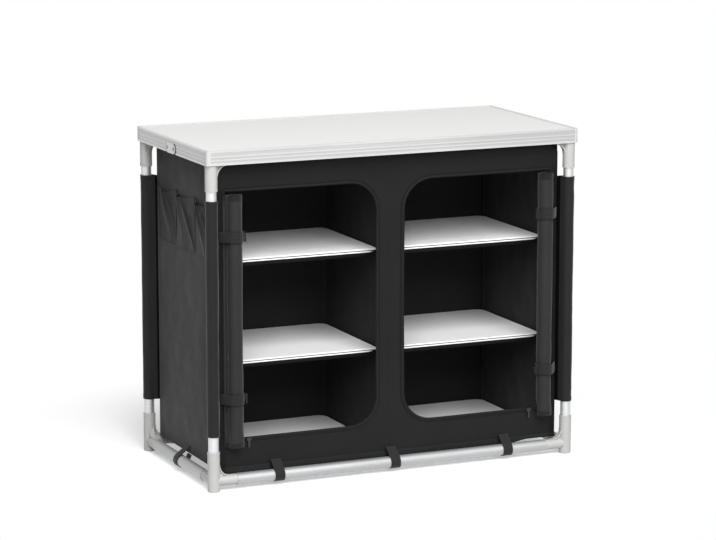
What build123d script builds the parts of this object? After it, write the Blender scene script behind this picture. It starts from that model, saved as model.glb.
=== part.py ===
"""Camping kitchen unit: knock-down tube frame, hung fabric cupboard and a worktop that folds in half.

Millimetres. The origin is on the floor under the middle of the worktop, +Z is up, the open side faces -Y.
"""
import os
from math import cos, radians, sin

from build123d import *

# Overall sizes
WIDTH = 970.0
DEPTH = 476.0
HEIGHT = 814.0

# Frame
LEG_INSET = 17.5
LEG_R = 12.5
TUBE_WALL = 1.2
LEG_BOTTOM = 42.0
LEG_TOP = 766.0
LOWER_RAIL_Z = 25.0
LOWER_RAIL_R = 14.0
LOWER_RAIL_BORE_R = 12.7
UPPER_RAIL_Z = 790.0
UPPER_RAIL_R = 10.5
UPPER_RAIL_BORE_R = 9.3
CONNECTOR_R = 14.75
SOCKET_R = 12.6
COLLAR_R = 15.1
COLLAR_H = 5.0
LOWER_SOCKET_TOP = 96.0
UPPER_SOCKET_BOTTOM = 717.0
UPPER_NECK_Z = 778.3
HEAD_R = 10.6
HEAD_TOP = 801.0
BOSS_R = 6.0
LOWER_ARM = 57.0
LOWER_PLUG = 100.0
UPPER_ARM = 46.0
UPPER_PLUG = 85.0
GUSSET_R = 27.2
GUSSET_REACH = 41.0
GUSSET_WEB = 6.0
GUSSET_RIM_W = 13.0
GUSSET_RIM_T = 2.5
LEG_X = WIDTH / 2 - LEG_INSET
LEG_Y = DEPTH / 2 - LEG_INSET
CORNERS = {
    "front_left": (-1, -1),
    "front_right": (1, -1),
    "rear_left": (-1, 1),
    "rear_right": (1, 1),
}

# Worktop: two boards in a ribbed edge profile, split along the middle
RIM_BOTTOM = 779.0
RIB = 1.2
RIM_BAND = 4.6
RIM_RIDGES = (798.4, 790.6)
RIM_RIDGE_W = 2.6
RIM_WALL = 1.3
RIM_LIP_W = 8.5
RIM_LIP_T = 1.3
LEDGE_W = 4.5
LEDGE_T = 1.5
BOARD_BOTTOM = 808.0
BOARD_T = 4.6
SPLIT_GAP = 0.3
CORNER_CAP = 11.0
CORNER_CAP_R = 8.0
CORNER_CAP_WALL = 2.4
CROSS_BAR_W = 10.0
CROSS_BAR_BOTTOM = 794.5
FOLD_Y = 21.0
FOLD_Z = 791.0
LINK_H = 25.0
LINK_T = 1.5
LINK_GAP = 0.3
PIVOT_R = 2.5
PIVOT_CLEARANCE = 0.06
RIVET_HEAD_R = 4.5
RIVET_HEAD_H = 0.8

# Fabric cupboard hung in the frame
CLOTH = 2.0
BAG_X = 446.0
BAG_Y = 204.0
BAG_BOTTOM = 40.0
BAG_TOP = 776.0
OPENING_LOW = 120.0
OPENING_HIGH = 710.0
OPENING_INNER_X = 37.0
OPENING_OUTER_X = 427.4
OPENING_R = 70.0
SLEEVE_LOW = 133.0
SLEEVE_HIGH = 695.0
SLEEVE_IN_R = 13.4
SLEEVE_OUT_R = 15.2
HEM_SLEEVE_IN_R = 10.8
HEM_SLEEVE_OUT_R = 11.8
HEM_SLEEVE_END = 60.0
ZIP_W = 10.0
ZIP_T = 1.0

# Shelves
SHELF_TOPS = {"lower": 51.3, "middle": 290.0, "upper": 536.0}
SHELF_T = 9.0
SHELF_FRONT = -130.0
SHELF_BACK = 196.0
SHELF_R = 25.0
SHELF_FRONT_R = 5.0
SHELF_SIDE_GAP = 5.0
SHELF_GROOVE = 2.2
SHELF_GROOVE_DEPTH = 2.0
SHELF_GROOVE_BELOW_TOP = 3.7
SHELF_CLOTH = 1.6
SHELF_CLOTH_GAP = 0.3

# Rolled-up doors, their straps and zip sliders
ROLL_X = 408.5
ROLL_Y = -215.5
ROLL_R = 20.6
ROLL_STEP = 1.4
ROLL_LOW = 102.0
ROLL_HIGH = 703.0
STRAP_W = 26.0
STRAP_T = 1.1
STRAP_GAP = 0.2
STRAP_HEIGHTS = (218.0, 606.0)
SLIDER_X = 372.0
SLIDER_L = 12.0
SLIDER_H = 8.0
SLIDER_T = 3.2
SLIDER_GAP = 0.4
PULL_L = 20.0
PULL_T = 1.5

# Webbing loops round the lower rails
LOOP_W = 28.0
LOOP_IN_R = 14.2
LOOP_OUT_R = 15.6
LOOP_SPREAD = 303.0
LOOP_TAB_TOP = 60.0

# Bellows pockets on the left side, from front to rear
POCKET_SPANS = ((-170.0, -46.0), (-42.0, 86.0), (90.0, 197.0))
POCKET_RIDGE = 45.0
POCKET_LOW = 545.0
POCKET_HIGH = 672.0
POCKET_DEPTH = 20.0
POCKET_FOOT_DEPTH = 5.0
POCKET_FOOT_INSET = 10.0
POCKET_CLOTH = 1.8

os.makedirs("parts", exist_ok=True)


def save(builder, name):
    """Labels a finished piece and writes it to its own file."""
    builder.part.label = name
    export_step(builder.part, f"parts/{name}.step")


def slab(x_range, y_range, z_range):
    """A flat rectangular piece between the given limits."""
    size = [b - a for a, b in (x_range, y_range, z_range)]
    middle = [(a + b) / 2 for a, b in (x_range, y_range, z_range)]
    with BuildPart() as piece:
        with Locations(tuple(middle)):
            Box(*size)
    return piece


def tube(plane, length, outer_r, bore_r):
    """A round tube that starts on a plane and runs along its normal."""
    with BuildPart() as piece:
        with BuildSketch(plane):
            Circle(outer_r)
            Circle(bore_r, mode=Mode.SUBTRACT)
        extrude(amount=length)
    return piece


def inward_planes(sx, sy):
    """The two upright planes through a leg: local x points along a rail, local y is up."""
    origin = (sx * LEG_X, sy * LEG_Y, 0)
    along_x = Plane(origin=origin, x_dir=(-sx, 0, 0), z_dir=(0, sx, 0))
    along_y = Plane(origin=origin, x_dir=(0, -sy, 0), z_dir=(-sy, 0, 0))
    return along_x, along_y


def rail_plane(sx, sy, height, offset, along):
    """A plane square to a rail, at a distance from the leg's axis, facing inward."""
    if along == "x":
        return Plane(origin=(sx * (LEG_X - offset), sy * LEG_Y, height), z_dir=(-sx, 0, 0))
    return Plane(origin=(sx * LEG_X, sy * (LEG_Y - offset), height), z_dir=(0, -sy, 0))


def gusset_web(rail_z, side):
    """The curved web between the socket and an arm; side is 1 above the rail and -1 below it."""
    corner_z = rail_z + side * (LOWER_RAIL_R + GUSSET_R - 1.7)
    socket_u = GUSSET_REACH - GUSSET_R
    middle = GUSSET_R * (1 - cos(radians(45)))
    with BuildSketch() as web:
        with BuildLine():
            Polyline((GUSSET_REACH, corner_z - side * GUSSET_R), (GUSSET_REACH, rail_z), (0, rail_z))
            Polyline((0, rail_z), (0, corner_z), (socket_u, corner_z))
            ThreePointArc(
                (socket_u, corner_z),
                (socket_u + middle, corner_z - side * (GUSSET_R - middle)),
                (GUSSET_REACH, corner_z - side * GUSSET_R),
            )
        make_face()
    return web.sketch


def gusset_rim(rail_z, side):
    """The thicker strip that follows the curve of the web."""
    corner_z = rail_z + side * (LOWER_RAIL_R + GUSSET_R - 1.7)
    start = (GUSSET_REACH - GUSSET_R, corner_z)
    end = (GUSSET_REACH, corner_z - side * GUSSET_R)
    outer = GUSSET_R + GUSSET_RIM_T
    outer_start = (GUSSET_REACH - outer, corner_z)
    outer_end = (GUSSET_REACH, corner_z - side * outer)
    lean = cos(radians(45))
    with BuildSketch() as strip:
        with BuildLine():
            ThreePointArc(start, (GUSSET_REACH - GUSSET_R * lean, corner_z - side * GUSSET_R * lean), end)
            Line(end, outer_end)
            ThreePointArc(
                outer_end, (GUSSET_REACH - outer * lean, corner_z - side * outer * lean), outer_start
            )
            Line(outer_start, start)
        make_face()
    return strip.sketch


def lower_connector(sx, sy):
    """A moulded three-way corner: upright socket with a foot, two arms and their gussets."""
    web = gusset_web(LOWER_RAIL_Z, 1)
    strip = gusset_rim(LOWER_RAIL_Z, 1)
    with BuildPart() as piece:
        with BuildSketch(Plane.XY):
            with Locations((sx * LEG_X, sy * LEG_Y)):
                Circle(CONNECTOR_R)
        extrude(amount=LOWER_SOCKET_TOP)
        chamfer(piece.faces().sort_by(Axis.Z)[0].edges(), 1.0)
        with BuildSketch(Plane.XY.offset(LOWER_SOCKET_TOP - COLLAR_H)):
            with Locations((sx * LEG_X, sy * LEG_Y)):
                Circle(COLLAR_R)
        extrude(amount=COLLAR_H - 1)
        for plane in inward_planes(sx, sy):
            with BuildSketch(plane):
                add(web)
            extrude(amount=GUSSET_WEB / 2, both=True)
            with BuildSketch(plane):
                add(strip)
            extrude(amount=GUSSET_RIM_W / 2, both=True)
        for along in ("x", "y"):
            with BuildSketch(rail_plane(sx, sy, LOWER_RAIL_Z, 0, along)):
                Circle(LEG_R)
            extrude(amount=LOWER_ARM)
            with BuildSketch(rail_plane(sx, sy, LOWER_RAIL_Z, LOWER_ARM - 1, along)):
                Circle(LOWER_RAIL_BORE_R - 0.3)
            extrude(amount=LOWER_PLUG - LOWER_ARM)
        with BuildSketch(Plane.XY.offset(LEG_BOTTOM)):
            with Locations((sx * LEG_X, sy * LEG_Y)):
                Circle(SOCKET_R)
        extrude(amount=LOWER_SOCKET_TOP, mode=Mode.SUBTRACT)
    return piece


def upper_connector(sx, sy):
    """The top corner: leg socket, a slimmer head inside the worktop's edge and a boss under the board."""
    web = gusset_web(UPPER_RAIL_Z, -1)
    strip = gusset_rim(UPPER_RAIL_Z, -1)
    with BuildPart() as piece:
        with BuildSketch(Plane.XY.offset(UPPER_SOCKET_BOTTOM)):
            with Locations((sx * LEG_X, sy * LEG_Y)):
                Circle(CONNECTOR_R)
        extrude(amount=UPPER_NECK_Z - UPPER_SOCKET_BOTTOM)
        with BuildSketch(Plane.XY.offset(UPPER_SOCKET_BOTTOM + 1)):
            with Locations((sx * LEG_X, sy * LEG_Y)):
                Circle(COLLAR_R)
        extrude(amount=COLLAR_H - 1)
        for height, radius, top in ((UPPER_NECK_Z, HEAD_R, HEAD_TOP), (HEAD_TOP, BOSS_R, BOARD_BOTTOM - 0.3)):
            with BuildSketch(Plane.XY.offset(height)):
                with Locations((sx * LEG_X, sy * LEG_Y)):
                    Circle(radius)
            extrude(amount=top - height)
        for plane in inward_planes(sx, sy):
            with BuildSketch(plane):
                add(web)
            extrude(amount=GUSSET_WEB / 2, both=True)
            with BuildSketch(plane):
                add(strip)
            extrude(amount=GUSSET_RIM_W / 2, both=True)
        for along in ("x", "y"):
            with BuildSketch(rail_plane(sx, sy, UPPER_RAIL_Z, 0, along)):
                Circle(UPPER_RAIL_R - 0.3)
            extrude(amount=UPPER_ARM)
            with BuildSketch(rail_plane(sx, sy, UPPER_RAIL_Z, UPPER_ARM - 1, along)):
                Circle(UPPER_RAIL_BORE_R - 0.3)
            extrude(amount=UPPER_PLUG - UPPER_ARM)
        with BuildSketch(Plane.XY.offset(LEG_TOP)):
            with Locations((sx * LEG_X, sy * LEG_Y)):
                Circle(SOCKET_R)
        extrude(amount=UPPER_SOCKET_BOTTOM - LEG_TOP - 1, mode=Mode.SUBTRACT)
    return piece


# Frame: corners and legs
for corner, (sx, sy) in CORNERS.items():
    save(lower_connector(sx, sy), f"lower_connector_{corner}")
    save(upper_connector(sx, sy), f"upper_connector_{corner}")
    leg_plane = Plane(origin=(sx * LEG_X, sy * LEG_Y, LEG_BOTTOM), z_dir=(0, 0, 1))
    save(tube(leg_plane, LEG_TOP - LEG_BOTTOM, LEG_R, LEG_R - TUBE_WALL), f"leg_{corner}")

# Frame: rails
for level, height, radius, bore, start in (
    ("lower", LOWER_RAIL_Z, LOWER_RAIL_R, LOWER_RAIL_BORE_R, LOWER_ARM),
    ("upper", UPPER_RAIL_Z, UPPER_RAIL_R, UPPER_RAIL_BORE_R, UPPER_ARM),
):
    for side, sy in (("front", -1), ("rear", 1)):
        plane = rail_plane(-1, sy, height, start, "x")
        save(tube(plane, 2 * (LEG_X - start), radius, bore), f"{level}_rail_{side}")
    for side, sx in (("left", -1), ("right", 1)):
        plane = rail_plane(sx, -1, height, start, "y")
        save(tube(plane, 2 * (LEG_Y - start), radius, bore), f"{level}_rail_{side}")


def rim_section():
    """The edge profile: local x is the distance in from the outermost edge, local y is the height."""
    wall_in = RIB + RIM_WALL
    with Locations((RIB + RIM_WALL / 2, (RIM_BOTTOM + HEIGHT) / 2)):
        Rectangle(RIM_WALL, HEIGHT - RIM_BOTTOM)
    with Locations((RIM_LIP_W / 2, HEIGHT - RIM_LIP_T / 2)):
        Rectangle(RIM_LIP_W, RIM_LIP_T)
    with Locations((RIB / 2, HEIGHT - RIM_BAND / 2), (RIB / 2, RIM_BOTTOM + RIM_BAND / 2)):
        Rectangle(RIB, RIM_BAND)
    with Locations(*[(RIB / 2, z) for z in RIM_RIDGES]):
        Rectangle(RIB, RIM_RIDGE_W)
    with Locations((wall_in + LEDGE_W / 2, BOARD_BOTTOM - LEDGE_T / 2)):
        Rectangle(LEDGE_W, LEDGE_T)
    with Locations((0, RIM_BOTTOM - 5)):
        Rectangle(20, 10, mode=Mode.SUBTRACT)


def long_rim(sy):
    """The edge profile along one long side, between its corner caps."""
    length = WIDTH - 2 * CORNER_CAP
    plane = Plane(origin=(sy * length / 2, sy * DEPTH / 2, 0), x_dir=(0, -sy, 0), z_dir=(-sy, 0, 0))
    with BuildPart() as piece:
        with BuildSketch(plane):
            rim_section()
        extrude(amount=length)
    return piece


def short_rims(sy):
    """The edge profiles at both ends of one worktop half, cut and drilled for the hinge links."""
    length = DEPTH / 2 - CORNER_CAP - SPLIT_GAP
    with BuildPart() as pair:
        for sx in (-1, 1):
            y_low, y_high = sorted((sy * SPLIT_GAP, sy * (SPLIT_GAP + length)))
            start_y = y_low if sx > 0 else y_high
            plane = Plane(origin=(sx * WIDTH / 2, start_y, 0), x_dir=(-sx, 0, 0), z_dir=(0, sx, 0))
            with BuildSketch(plane):
                rim_section()
            extrude(amount=length)
        # Bare wall where the links lie, and a rounded lower corner at the split so that the halves can turn
        link_reach = FOLD_Y + LINK_H / 2 + 1
        for sx in (-1, 1):
            with Locations((sx * (WIDTH / 2 - RIB / 2 + 5), sy * link_reach / 2, FOLD_Z)):
                Box(RIB + 10, link_reach, LINK_H + 2, mode=Mode.SUBTRACT)
        with BuildSketch(Plane.YZ.offset(-WIDTH / 2 - 5)):
            with Locations((sy * FOLD_Y / 2, FOLD_Z - 25)):
                Rectangle(FOLD_Y, 50)
            with Locations((sy * FOLD_Y, FOLD_Z)):
                Circle(FOLD_Y - SPLIT_GAP, mode=Mode.SUBTRACT)
        extrude(amount=WIDTH + 10, mode=Mode.SUBTRACT)
        with BuildSketch(Plane.YZ.offset(-WIDTH / 2 - 5)):
            with Locations((sy * FOLD_Y, FOLD_Z)):
                Circle(PIVOT_R + PIVOT_CLEARANCE)
        extrude(amount=WIDTH + 10, mode=Mode.SUBTRACT)
    return pair


def corner_caps(sy):
    """The two rounded corner pieces of one worktop half."""
    with BuildPart() as pair:
        for sx in (-1, 1):
            corner = (sx * WIDTH / 2, sy * DEPTH / 2)
            for low, high, wall in (
                (RIM_BOTTOM, HEIGHT, CORNER_CAP_WALL),
                (HEIGHT - RIM_LIP_T, HEIGHT, RIM_LIP_W),
            ):
                with BuildSketch(Plane.XY.offset(low)):
                    with Locations((corner[0] - sx * CORNER_CAP, corner[1] - sy * CORNER_CAP)):
                        RectangleRounded(2 * CORNER_CAP, 2 * CORNER_CAP, CORNER_CAP_R)
                    with Locations((corner[0] - sx * (wall + 25), corner[1] - sy * (wall + 25))):
                        Rectangle(50, 50, mode=Mode.SUBTRACT)
                    with Locations((corner[0] - sx * (CORNER_CAP + 25), corner[1])):
                        Rectangle(50, 50, mode=Mode.SUBTRACT)
                    with Locations((corner[0], corner[1] - sy * (CORNER_CAP + 25))):
                        Rectangle(50, 50, mode=Mode.SUBTRACT)
                extrude(amount=high - low)
    return pair


def worktop_board(sy):
    """One laminated board, with its outer corners cut to clear the caps."""
    edge = RIB + RIM_WALL + 0.2
    outer_y = DEPTH / 2 - edge
    with BuildPart() as piece:
        with BuildSketch(Plane.XY.offset(BOARD_BOTTOM)):
            with Locations((0, sy * (outer_y + SPLIT_GAP) / 2)):
                Rectangle(WIDTH - 2 * edge, outer_y - SPLIT_GAP)
        extrude(amount=BOARD_T)
        outer_edges = piece.edges().filter_by(Axis.Z).sort_by(Axis.Y)
        chamfer(outer_edges[-2:] if sy > 0 else outer_edges[:2], 6.0)
    return piece


# Worktop halves
for half, sy in (("front", -1), ("rear", 1)):
    save(worktop_board(sy), f"worktop_board_{half}")
    save(long_rim(sy), f"worktop_edge_{half}")
    save(short_rims(sy), f"worktop_end_edges_{half}")
    save(corner_caps(sy), f"worktop_corner_caps_{half}")
    bar_x = LEG_X - HEM_SLEEVE_OUT_R - 7
    bar_y = sorted((sy * (SPLIT_GAP + 0.1), sy * (SPLIT_GAP + CROSS_BAR_W)))
    save(slab((-bar_x, bar_x), bar_y, (CROSS_BAR_BOTTOM, BOARD_BOTTOM)), f"worktop_cross_bar_{half}")

# Hinge links: one plate at each end of the worktop, with a pivot in each half
link_in = WIDTH / 2 - RIB + LINK_GAP
with BuildPart() as hinge_links:
    for sx in (-1, 1):
        with BuildSketch(Plane(origin=(sx * link_in, 0, FOLD_Z), x_dir=(0, 1, 0), z_dir=(sx, 0, 0))):
            SlotCenterToCenter(2 * FOLD_Y, LINK_H)
            with Locations((-FOLD_Y, 0), (FOLD_Y, 0)):
                Circle(PIVOT_R, mode=Mode.SUBTRACT)
        extrude(amount=LINK_T)
save(hinge_links, "hinge_links")

with BuildPart() as hinge_rivets:
    inner_face = WIDTH / 2 - RIB - RIM_WALL - LINK_GAP
    outer_face = link_in + LINK_T
    for sx in (-1, 1):
        for start, length, radius in (
            (inner_face - RIVET_HEAD_H, RIVET_HEAD_H, RIVET_HEAD_R),
            (inner_face - RIVET_HEAD_H, outer_face - inner_face + 2 * RIVET_HEAD_H, PIVOT_R),
            (outer_face, RIVET_HEAD_H, RIVET_HEAD_R),
        ):
            with BuildSketch(Plane(origin=(sx * start, 0, FOLD_Z), x_dir=(0, 1, 0), z_dir=(sx, 0, 0))):
                with Locations((-FOLD_Y, 0), (FOLD_Y, 0)):
                    Circle(radius)
            extrude(amount=length)
save(hinge_rivets, "hinge_rivets")


def opening_outline(sx, grow):
    """A door opening, grown at its top, bottom and inner side; the outer side is straight."""
    middle_z = (OPENING_LOW + OPENING_HIGH) / 2
    height = OPENING_HIGH - OPENING_LOW
    inner = OPENING_INNER_X - grow
    reach = OPENING_OUTER_X - inner
    with BuildSketch() as outline:
        with Locations((sx * (inner + reach), middle_z)):
            RectangleRounded(2 * reach, height + 2 * grow, OPENING_R + grow)
        with Locations((sx * (OPENING_OUTER_X + reach / 2 + 50), middle_z)):
            Rectangle(reach + 100, height + 4 * grow + 10, mode=Mode.SUBTRACT)
    return outline.sketch


def front_plane(y):
    """An upright plane that faces the front, with local x to the right and local y up."""
    return Plane(origin=(0, y, 0), x_dir=(1, 0, 0), z_dir=(0, -1, 0))


def front_band(x_range, z_range):
    """A strip of the cupboard's front, cut where the door openings are."""
    middle = (sum(x_range) / 2, -BAG_Y + CLOTH / 2, sum(z_range) / 2)
    openings = [opening_outline(sx, 0) for sx in (-1, 1)]
    with BuildPart() as piece:
        with Locations(middle):
            Box(x_range[1] - x_range[0], CLOTH, z_range[1] - z_range[0])
        with BuildSketch(front_plane(-BAG_Y + CLOTH + 1)):
            for opening in openings:
                add(opening)
        extrude(amount=CLOTH + 2, mode=Mode.SUBTRACT)
    return piece


# Fabric cupboard: front made of a top band, a bottom band, a middle post and two narrow stiles
save(front_band((-BAG_X, BAG_X), (OPENING_HIGH - OPENING_R, BAG_TOP)), "front_top_band")
save(front_band((-BAG_X, BAG_X), (BAG_BOTTOM, OPENING_LOW + OPENING_R)), "front_bottom_band")
post_z = (OPENING_LOW + OPENING_R, OPENING_HIGH - OPENING_R)
front_y = (-BAG_Y, -BAG_Y + CLOTH)
save(slab((-OPENING_INNER_X, OPENING_INNER_X), front_y, post_z), "front_middle_post")
with BuildPart() as front_stiles:
    for sx in (-1, 1):
        with Locations((sx * (BAG_X + OPENING_OUTER_X) / 2, -BAG_Y + CLOTH / 2, sum(post_z) / 2)):
            Box(BAG_X - OPENING_OUTER_X, CLOTH, post_z[1] - post_z[0])
save(front_stiles, "front_stiles")

inside_y = (-BAG_Y + CLOTH, BAG_Y - CLOTH)
bag_z = (BAG_BOTTOM, BAG_TOP)
save(slab((-BAG_X, -BAG_X + CLOTH), inside_y, bag_z), "side_panel_left")
save(slab((BAG_X - CLOTH, BAG_X), inside_y, bag_z), "side_panel_right")
save(slab((-BAG_X, BAG_X), (BAG_Y - CLOTH, BAG_Y), bag_z), "back_panel")
inside_x = (-BAG_X + CLOTH, BAG_X - CLOTH)
save(slab(inside_x, inside_y, (BAG_BOTTOM, BAG_BOTTOM + CLOTH)), "cupboard_floor")
save(slab((-CLOTH / 2, CLOTH / 2), inside_y, (BAG_BOTTOM + CLOTH, BAG_TOP)), "middle_partition")

# Sewn cloth floors that carry the four loose boards above the bottom
with BuildPart() as shelf_cloths:
    for level in ("middle", "upper"):
        cloth_top = SHELF_TOPS[level] - SHELF_T - SHELF_CLOTH_GAP
        for sx in (-1, 1):
            cloth_x = (CLOTH / 2 + BAG_X - CLOTH) / 2
            cloth_y = (SHELF_FRONT + 4 + BAG_Y - CLOTH) / 2
            with Locations((sx * cloth_x, cloth_y, cloth_top - SHELF_CLOTH / 2)):
                Box(BAG_X - 1.5 * CLOTH, BAG_Y - CLOTH - SHELF_FRONT - 4, SHELF_CLOTH)
save(shelf_cloths, "shelf_cloths")

# Top hems: cloth sleeves round the upper rails, joined to the panels below
with BuildPart() as top_hem_sleeves:
    flap_low = BAG_TOP
    for sy in (-1, 1):
        hem_plane = rail_plane(-1, sy, UPPER_RAIL_Z, HEM_SLEEVE_END, "x")
        hem_length = 2 * (LEG_X - HEM_SLEEVE_END)
        with BuildSketch(hem_plane):
            Circle(HEM_SLEEVE_OUT_R)
            Circle(HEM_SLEEVE_IN_R, mode=Mode.SUBTRACT)
        extrude(amount=hem_length)
        flap_in = BAG_Y - CLOTH
        flap_out = LEG_Y - HEM_SLEEVE_IN_R
        with Locations((0, sy * (flap_in + flap_out) / 2, (flap_low + UPPER_RAIL_Z) / 2)):
            Box(hem_length, flap_out - flap_in, UPPER_RAIL_Z - flap_low)
    for sx in (-1, 1):
        hem_plane = rail_plane(sx, -1, UPPER_RAIL_Z, HEM_SLEEVE_END, "y")
        hem_length = 2 * (LEG_Y - HEM_SLEEVE_END)
        with BuildSketch(hem_plane):
            Circle(HEM_SLEEVE_OUT_R)
            Circle(HEM_SLEEVE_IN_R, mode=Mode.SUBTRACT)
        extrude(amount=hem_length)
        flap_in = BAG_X - CLOTH
        flap_out = LEG_X - HEM_SLEEVE_IN_R
        with Locations((sx * (flap_in + flap_out) / 2, 0, (flap_low + UPPER_RAIL_Z) / 2)):
            Box(flap_out - flap_in, hem_length, UPPER_RAIL_Z - flap_low)
save(top_hem_sleeves, "top_hem_sleeves")

# Leg sleeves: cloth tunnels round the legs, each with a web to the nearest corner of the cupboard
with BuildPart() as leg_sleeves:
    web = Vector(BAG_X - LEG_X, BAG_Y - LEG_Y, 0)
    web_end = web.length - 0.6
    for sx, sy in CORNERS.values():
        centre = Vector(sx * LEG_X, sy * LEG_Y, 0)
        reach = Vector(sx * web.X, sy * web.Y, 0)
        turn = Vector(1, 0, 0).get_signed_angle(reach, Vector(0, 0, 1))
        middle = centre + reach.normalized() * (web_end / 2)
        with BuildSketch(Plane.XY.offset(SLEEVE_LOW)):
            with Locations((centre.X, centre.Y)):
                Circle(SLEEVE_OUT_R)
            with Locations(Location((middle.X, middle.Y, 0), (0, 0, turn))):
                Rectangle(web_end, 1.8)
            with Locations((centre.X, centre.Y)):
                Circle(SLEEVE_IN_R, mode=Mode.SUBTRACT)
        extrude(amount=SLEEVE_HIGH - SLEEVE_LOW)
save(leg_sleeves, "leg_sleeves")

# Shelf boards
for side, sx in (("left", -1), ("right", 1)):
    for level, top in SHELF_TOPS.items():
        board_w = BAG_X - CLOTH - 2 * SHELF_SIDE_GAP
        board_d = SHELF_BACK - SHELF_FRONT
        board_at = (sx * (BAG_X - CLOTH) / 2, (SHELF_BACK + SHELF_FRONT) / 2)
        groove_top = top - SHELF_GROOVE_BELOW_TOP
        with BuildPart() as shelf_board:
            with BuildSketch(Plane.XY.offset(top - SHELF_T)):
                with Locations(board_at):
                    RectangleRounded(board_w, board_d, SHELF_R)
            extrude(amount=SHELF_T - SHELF_GROOVE_BELOW_TOP - SHELF_GROOVE)
            with BuildSketch(Plane.XY.offset(groove_top - SHELF_GROOVE)):
                with Locations(board_at):
                    RectangleRounded(
                        board_w - 2 * SHELF_GROOVE_DEPTH,
                        board_d - 2 * SHELF_GROOVE_DEPTH,
                        SHELF_R - SHELF_GROOVE_DEPTH,
                    )
            extrude(amount=SHELF_GROOVE)
            # The layer above the groove keeps its front corners
            with BuildSketch(Plane.XY.offset(groove_top)):
                with Locations(board_at):
                    Rectangle(board_w, board_d)
                fillet(vertices().sort_by(Axis.Y)[:2], SHELF_FRONT_R)
                fillet(vertices().sort_by(Axis.Y)[-2:], SHELF_R)
            extrude(amount=SHELF_GROOVE_BELOW_TOP)
        save(shelf_board, f"shelf_board_{side}_{level}")

# Zip tapes round the door openings
tape_outlines = [opening_outline(sx, ZIP_W) for sx in (-1, 1)]
tape_windows = [opening_outline(sx, 0) for sx in (-1, 1)]
with BuildPart() as zip_tapes:
    with BuildSketch(front_plane(-BAG_Y)):
        for outline in tape_outlines:
            add(outline)
        for window in tape_windows:
            add(window, mode=Mode.SUBTRACT)
    extrude(amount=ZIP_T)
save(zip_tapes, "zip_tapes")

# Zip sliders with their pulls, parked at the outer end of the bottom run
for side, sx in (("left", -1), ("right", 1)):
    slider_y = -BAG_Y - ZIP_T - SLIDER_GAP
    slider_z = OPENING_LOW - ZIP_W / 2
    with BuildPart() as zip_slider:
        with Locations((sx * SLIDER_X, slider_y - SLIDER_T / 2, slider_z)):
            Box(SLIDER_L, SLIDER_T, SLIDER_H)
        chamfer(zip_slider.edges().filter_by(Axis.Y), 2.0)
        with Locations((sx * SLIDER_X, slider_y - SLIDER_T + PULL_T / 2, slider_z - PULL_L / 2)):
            Box(5.0, PULL_T, PULL_L)
    save(zip_slider, f"zip_slider_{side}")

# Rolled-up doors: the roll's section steps where the cloth ends, and its foot hangs in front of the bottom band
for side, sx in (("left", -1), ("right", 1)):
    small_r = ROLL_R - ROLL_STEP
    with BuildPart() as door_roll:
        with BuildSketch(Plane(origin=(sx * ROLL_X, ROLL_Y, ROLL_LOW), x_dir=(1, 0, 0), z_dir=(0, 0, 1))):
            with BuildLine():
                # Two half circles of unlike size make the step
                CenterArc((0, 0), ROLL_R, -45, 180)
                CenterArc((0, 0), small_r, 135, 180)
                Line(
                    (ROLL_R * cos(radians(135)), ROLL_R * sin(radians(135))),
                    (small_r * cos(radians(135)), small_r * sin(radians(135))),
                )
                Line(
                    (small_r * cos(radians(-45)), small_r * sin(radians(-45))),
                    (ROLL_R * cos(radians(-45)), ROLL_R * sin(radians(-45))),
                )
            make_face()
        extrude(amount=ROLL_HIGH - ROLL_LOW)
        foot_cut = (OPENING_LOW - ROLL_LOW) + 1
        with Locations((sx * ROLL_X, -BAG_Y - ZIP_T - 0.3 + 25, ROLL_LOW + foot_cut / 2)):
            Box(80, 50, foot_cut, mode=Mode.SUBTRACT)
    save(door_roll, f"door_roll_{side}")

# Straps that hold the rolls, sewn to the stiles
strap_in = ROLL_R + STRAP_GAP
strap_out = strap_in + STRAP_T
with BuildPart() as door_straps:
    for sx in (-1, 1):
        for height in STRAP_HEIGHTS:
            with BuildSketch(Plane.XY.offset(height - STRAP_W / 2)):
                with Locations((sx * ROLL_X, ROLL_Y)):
                    Circle(strap_out)
                tab_x = (OPENING_OUTER_X - 4, BAG_X - 2)
                with Locations((sx * sum(tab_x) / 2, -BAG_Y - STRAP_T / 2)):
                    Rectangle(tab_x[1] - tab_x[0], STRAP_T)
                with Locations((sx * ROLL_X, ROLL_Y)):
                    Circle(strap_in, mode=Mode.SUBTRACT)
            extrude(amount=STRAP_W)
save(door_straps, "door_straps")

with BuildPart() as strap_clips:
    for sx in (-1, 1):
        for height in STRAP_HEIGHTS:
            clip_x = ROLL_X - strap_out - 2.6
            with Locations((sx * clip_x, ROLL_Y - 4, height)):
                Box(5.0, 12.0, STRAP_W - 3)
save(strap_clips, "strap_clips")

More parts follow.
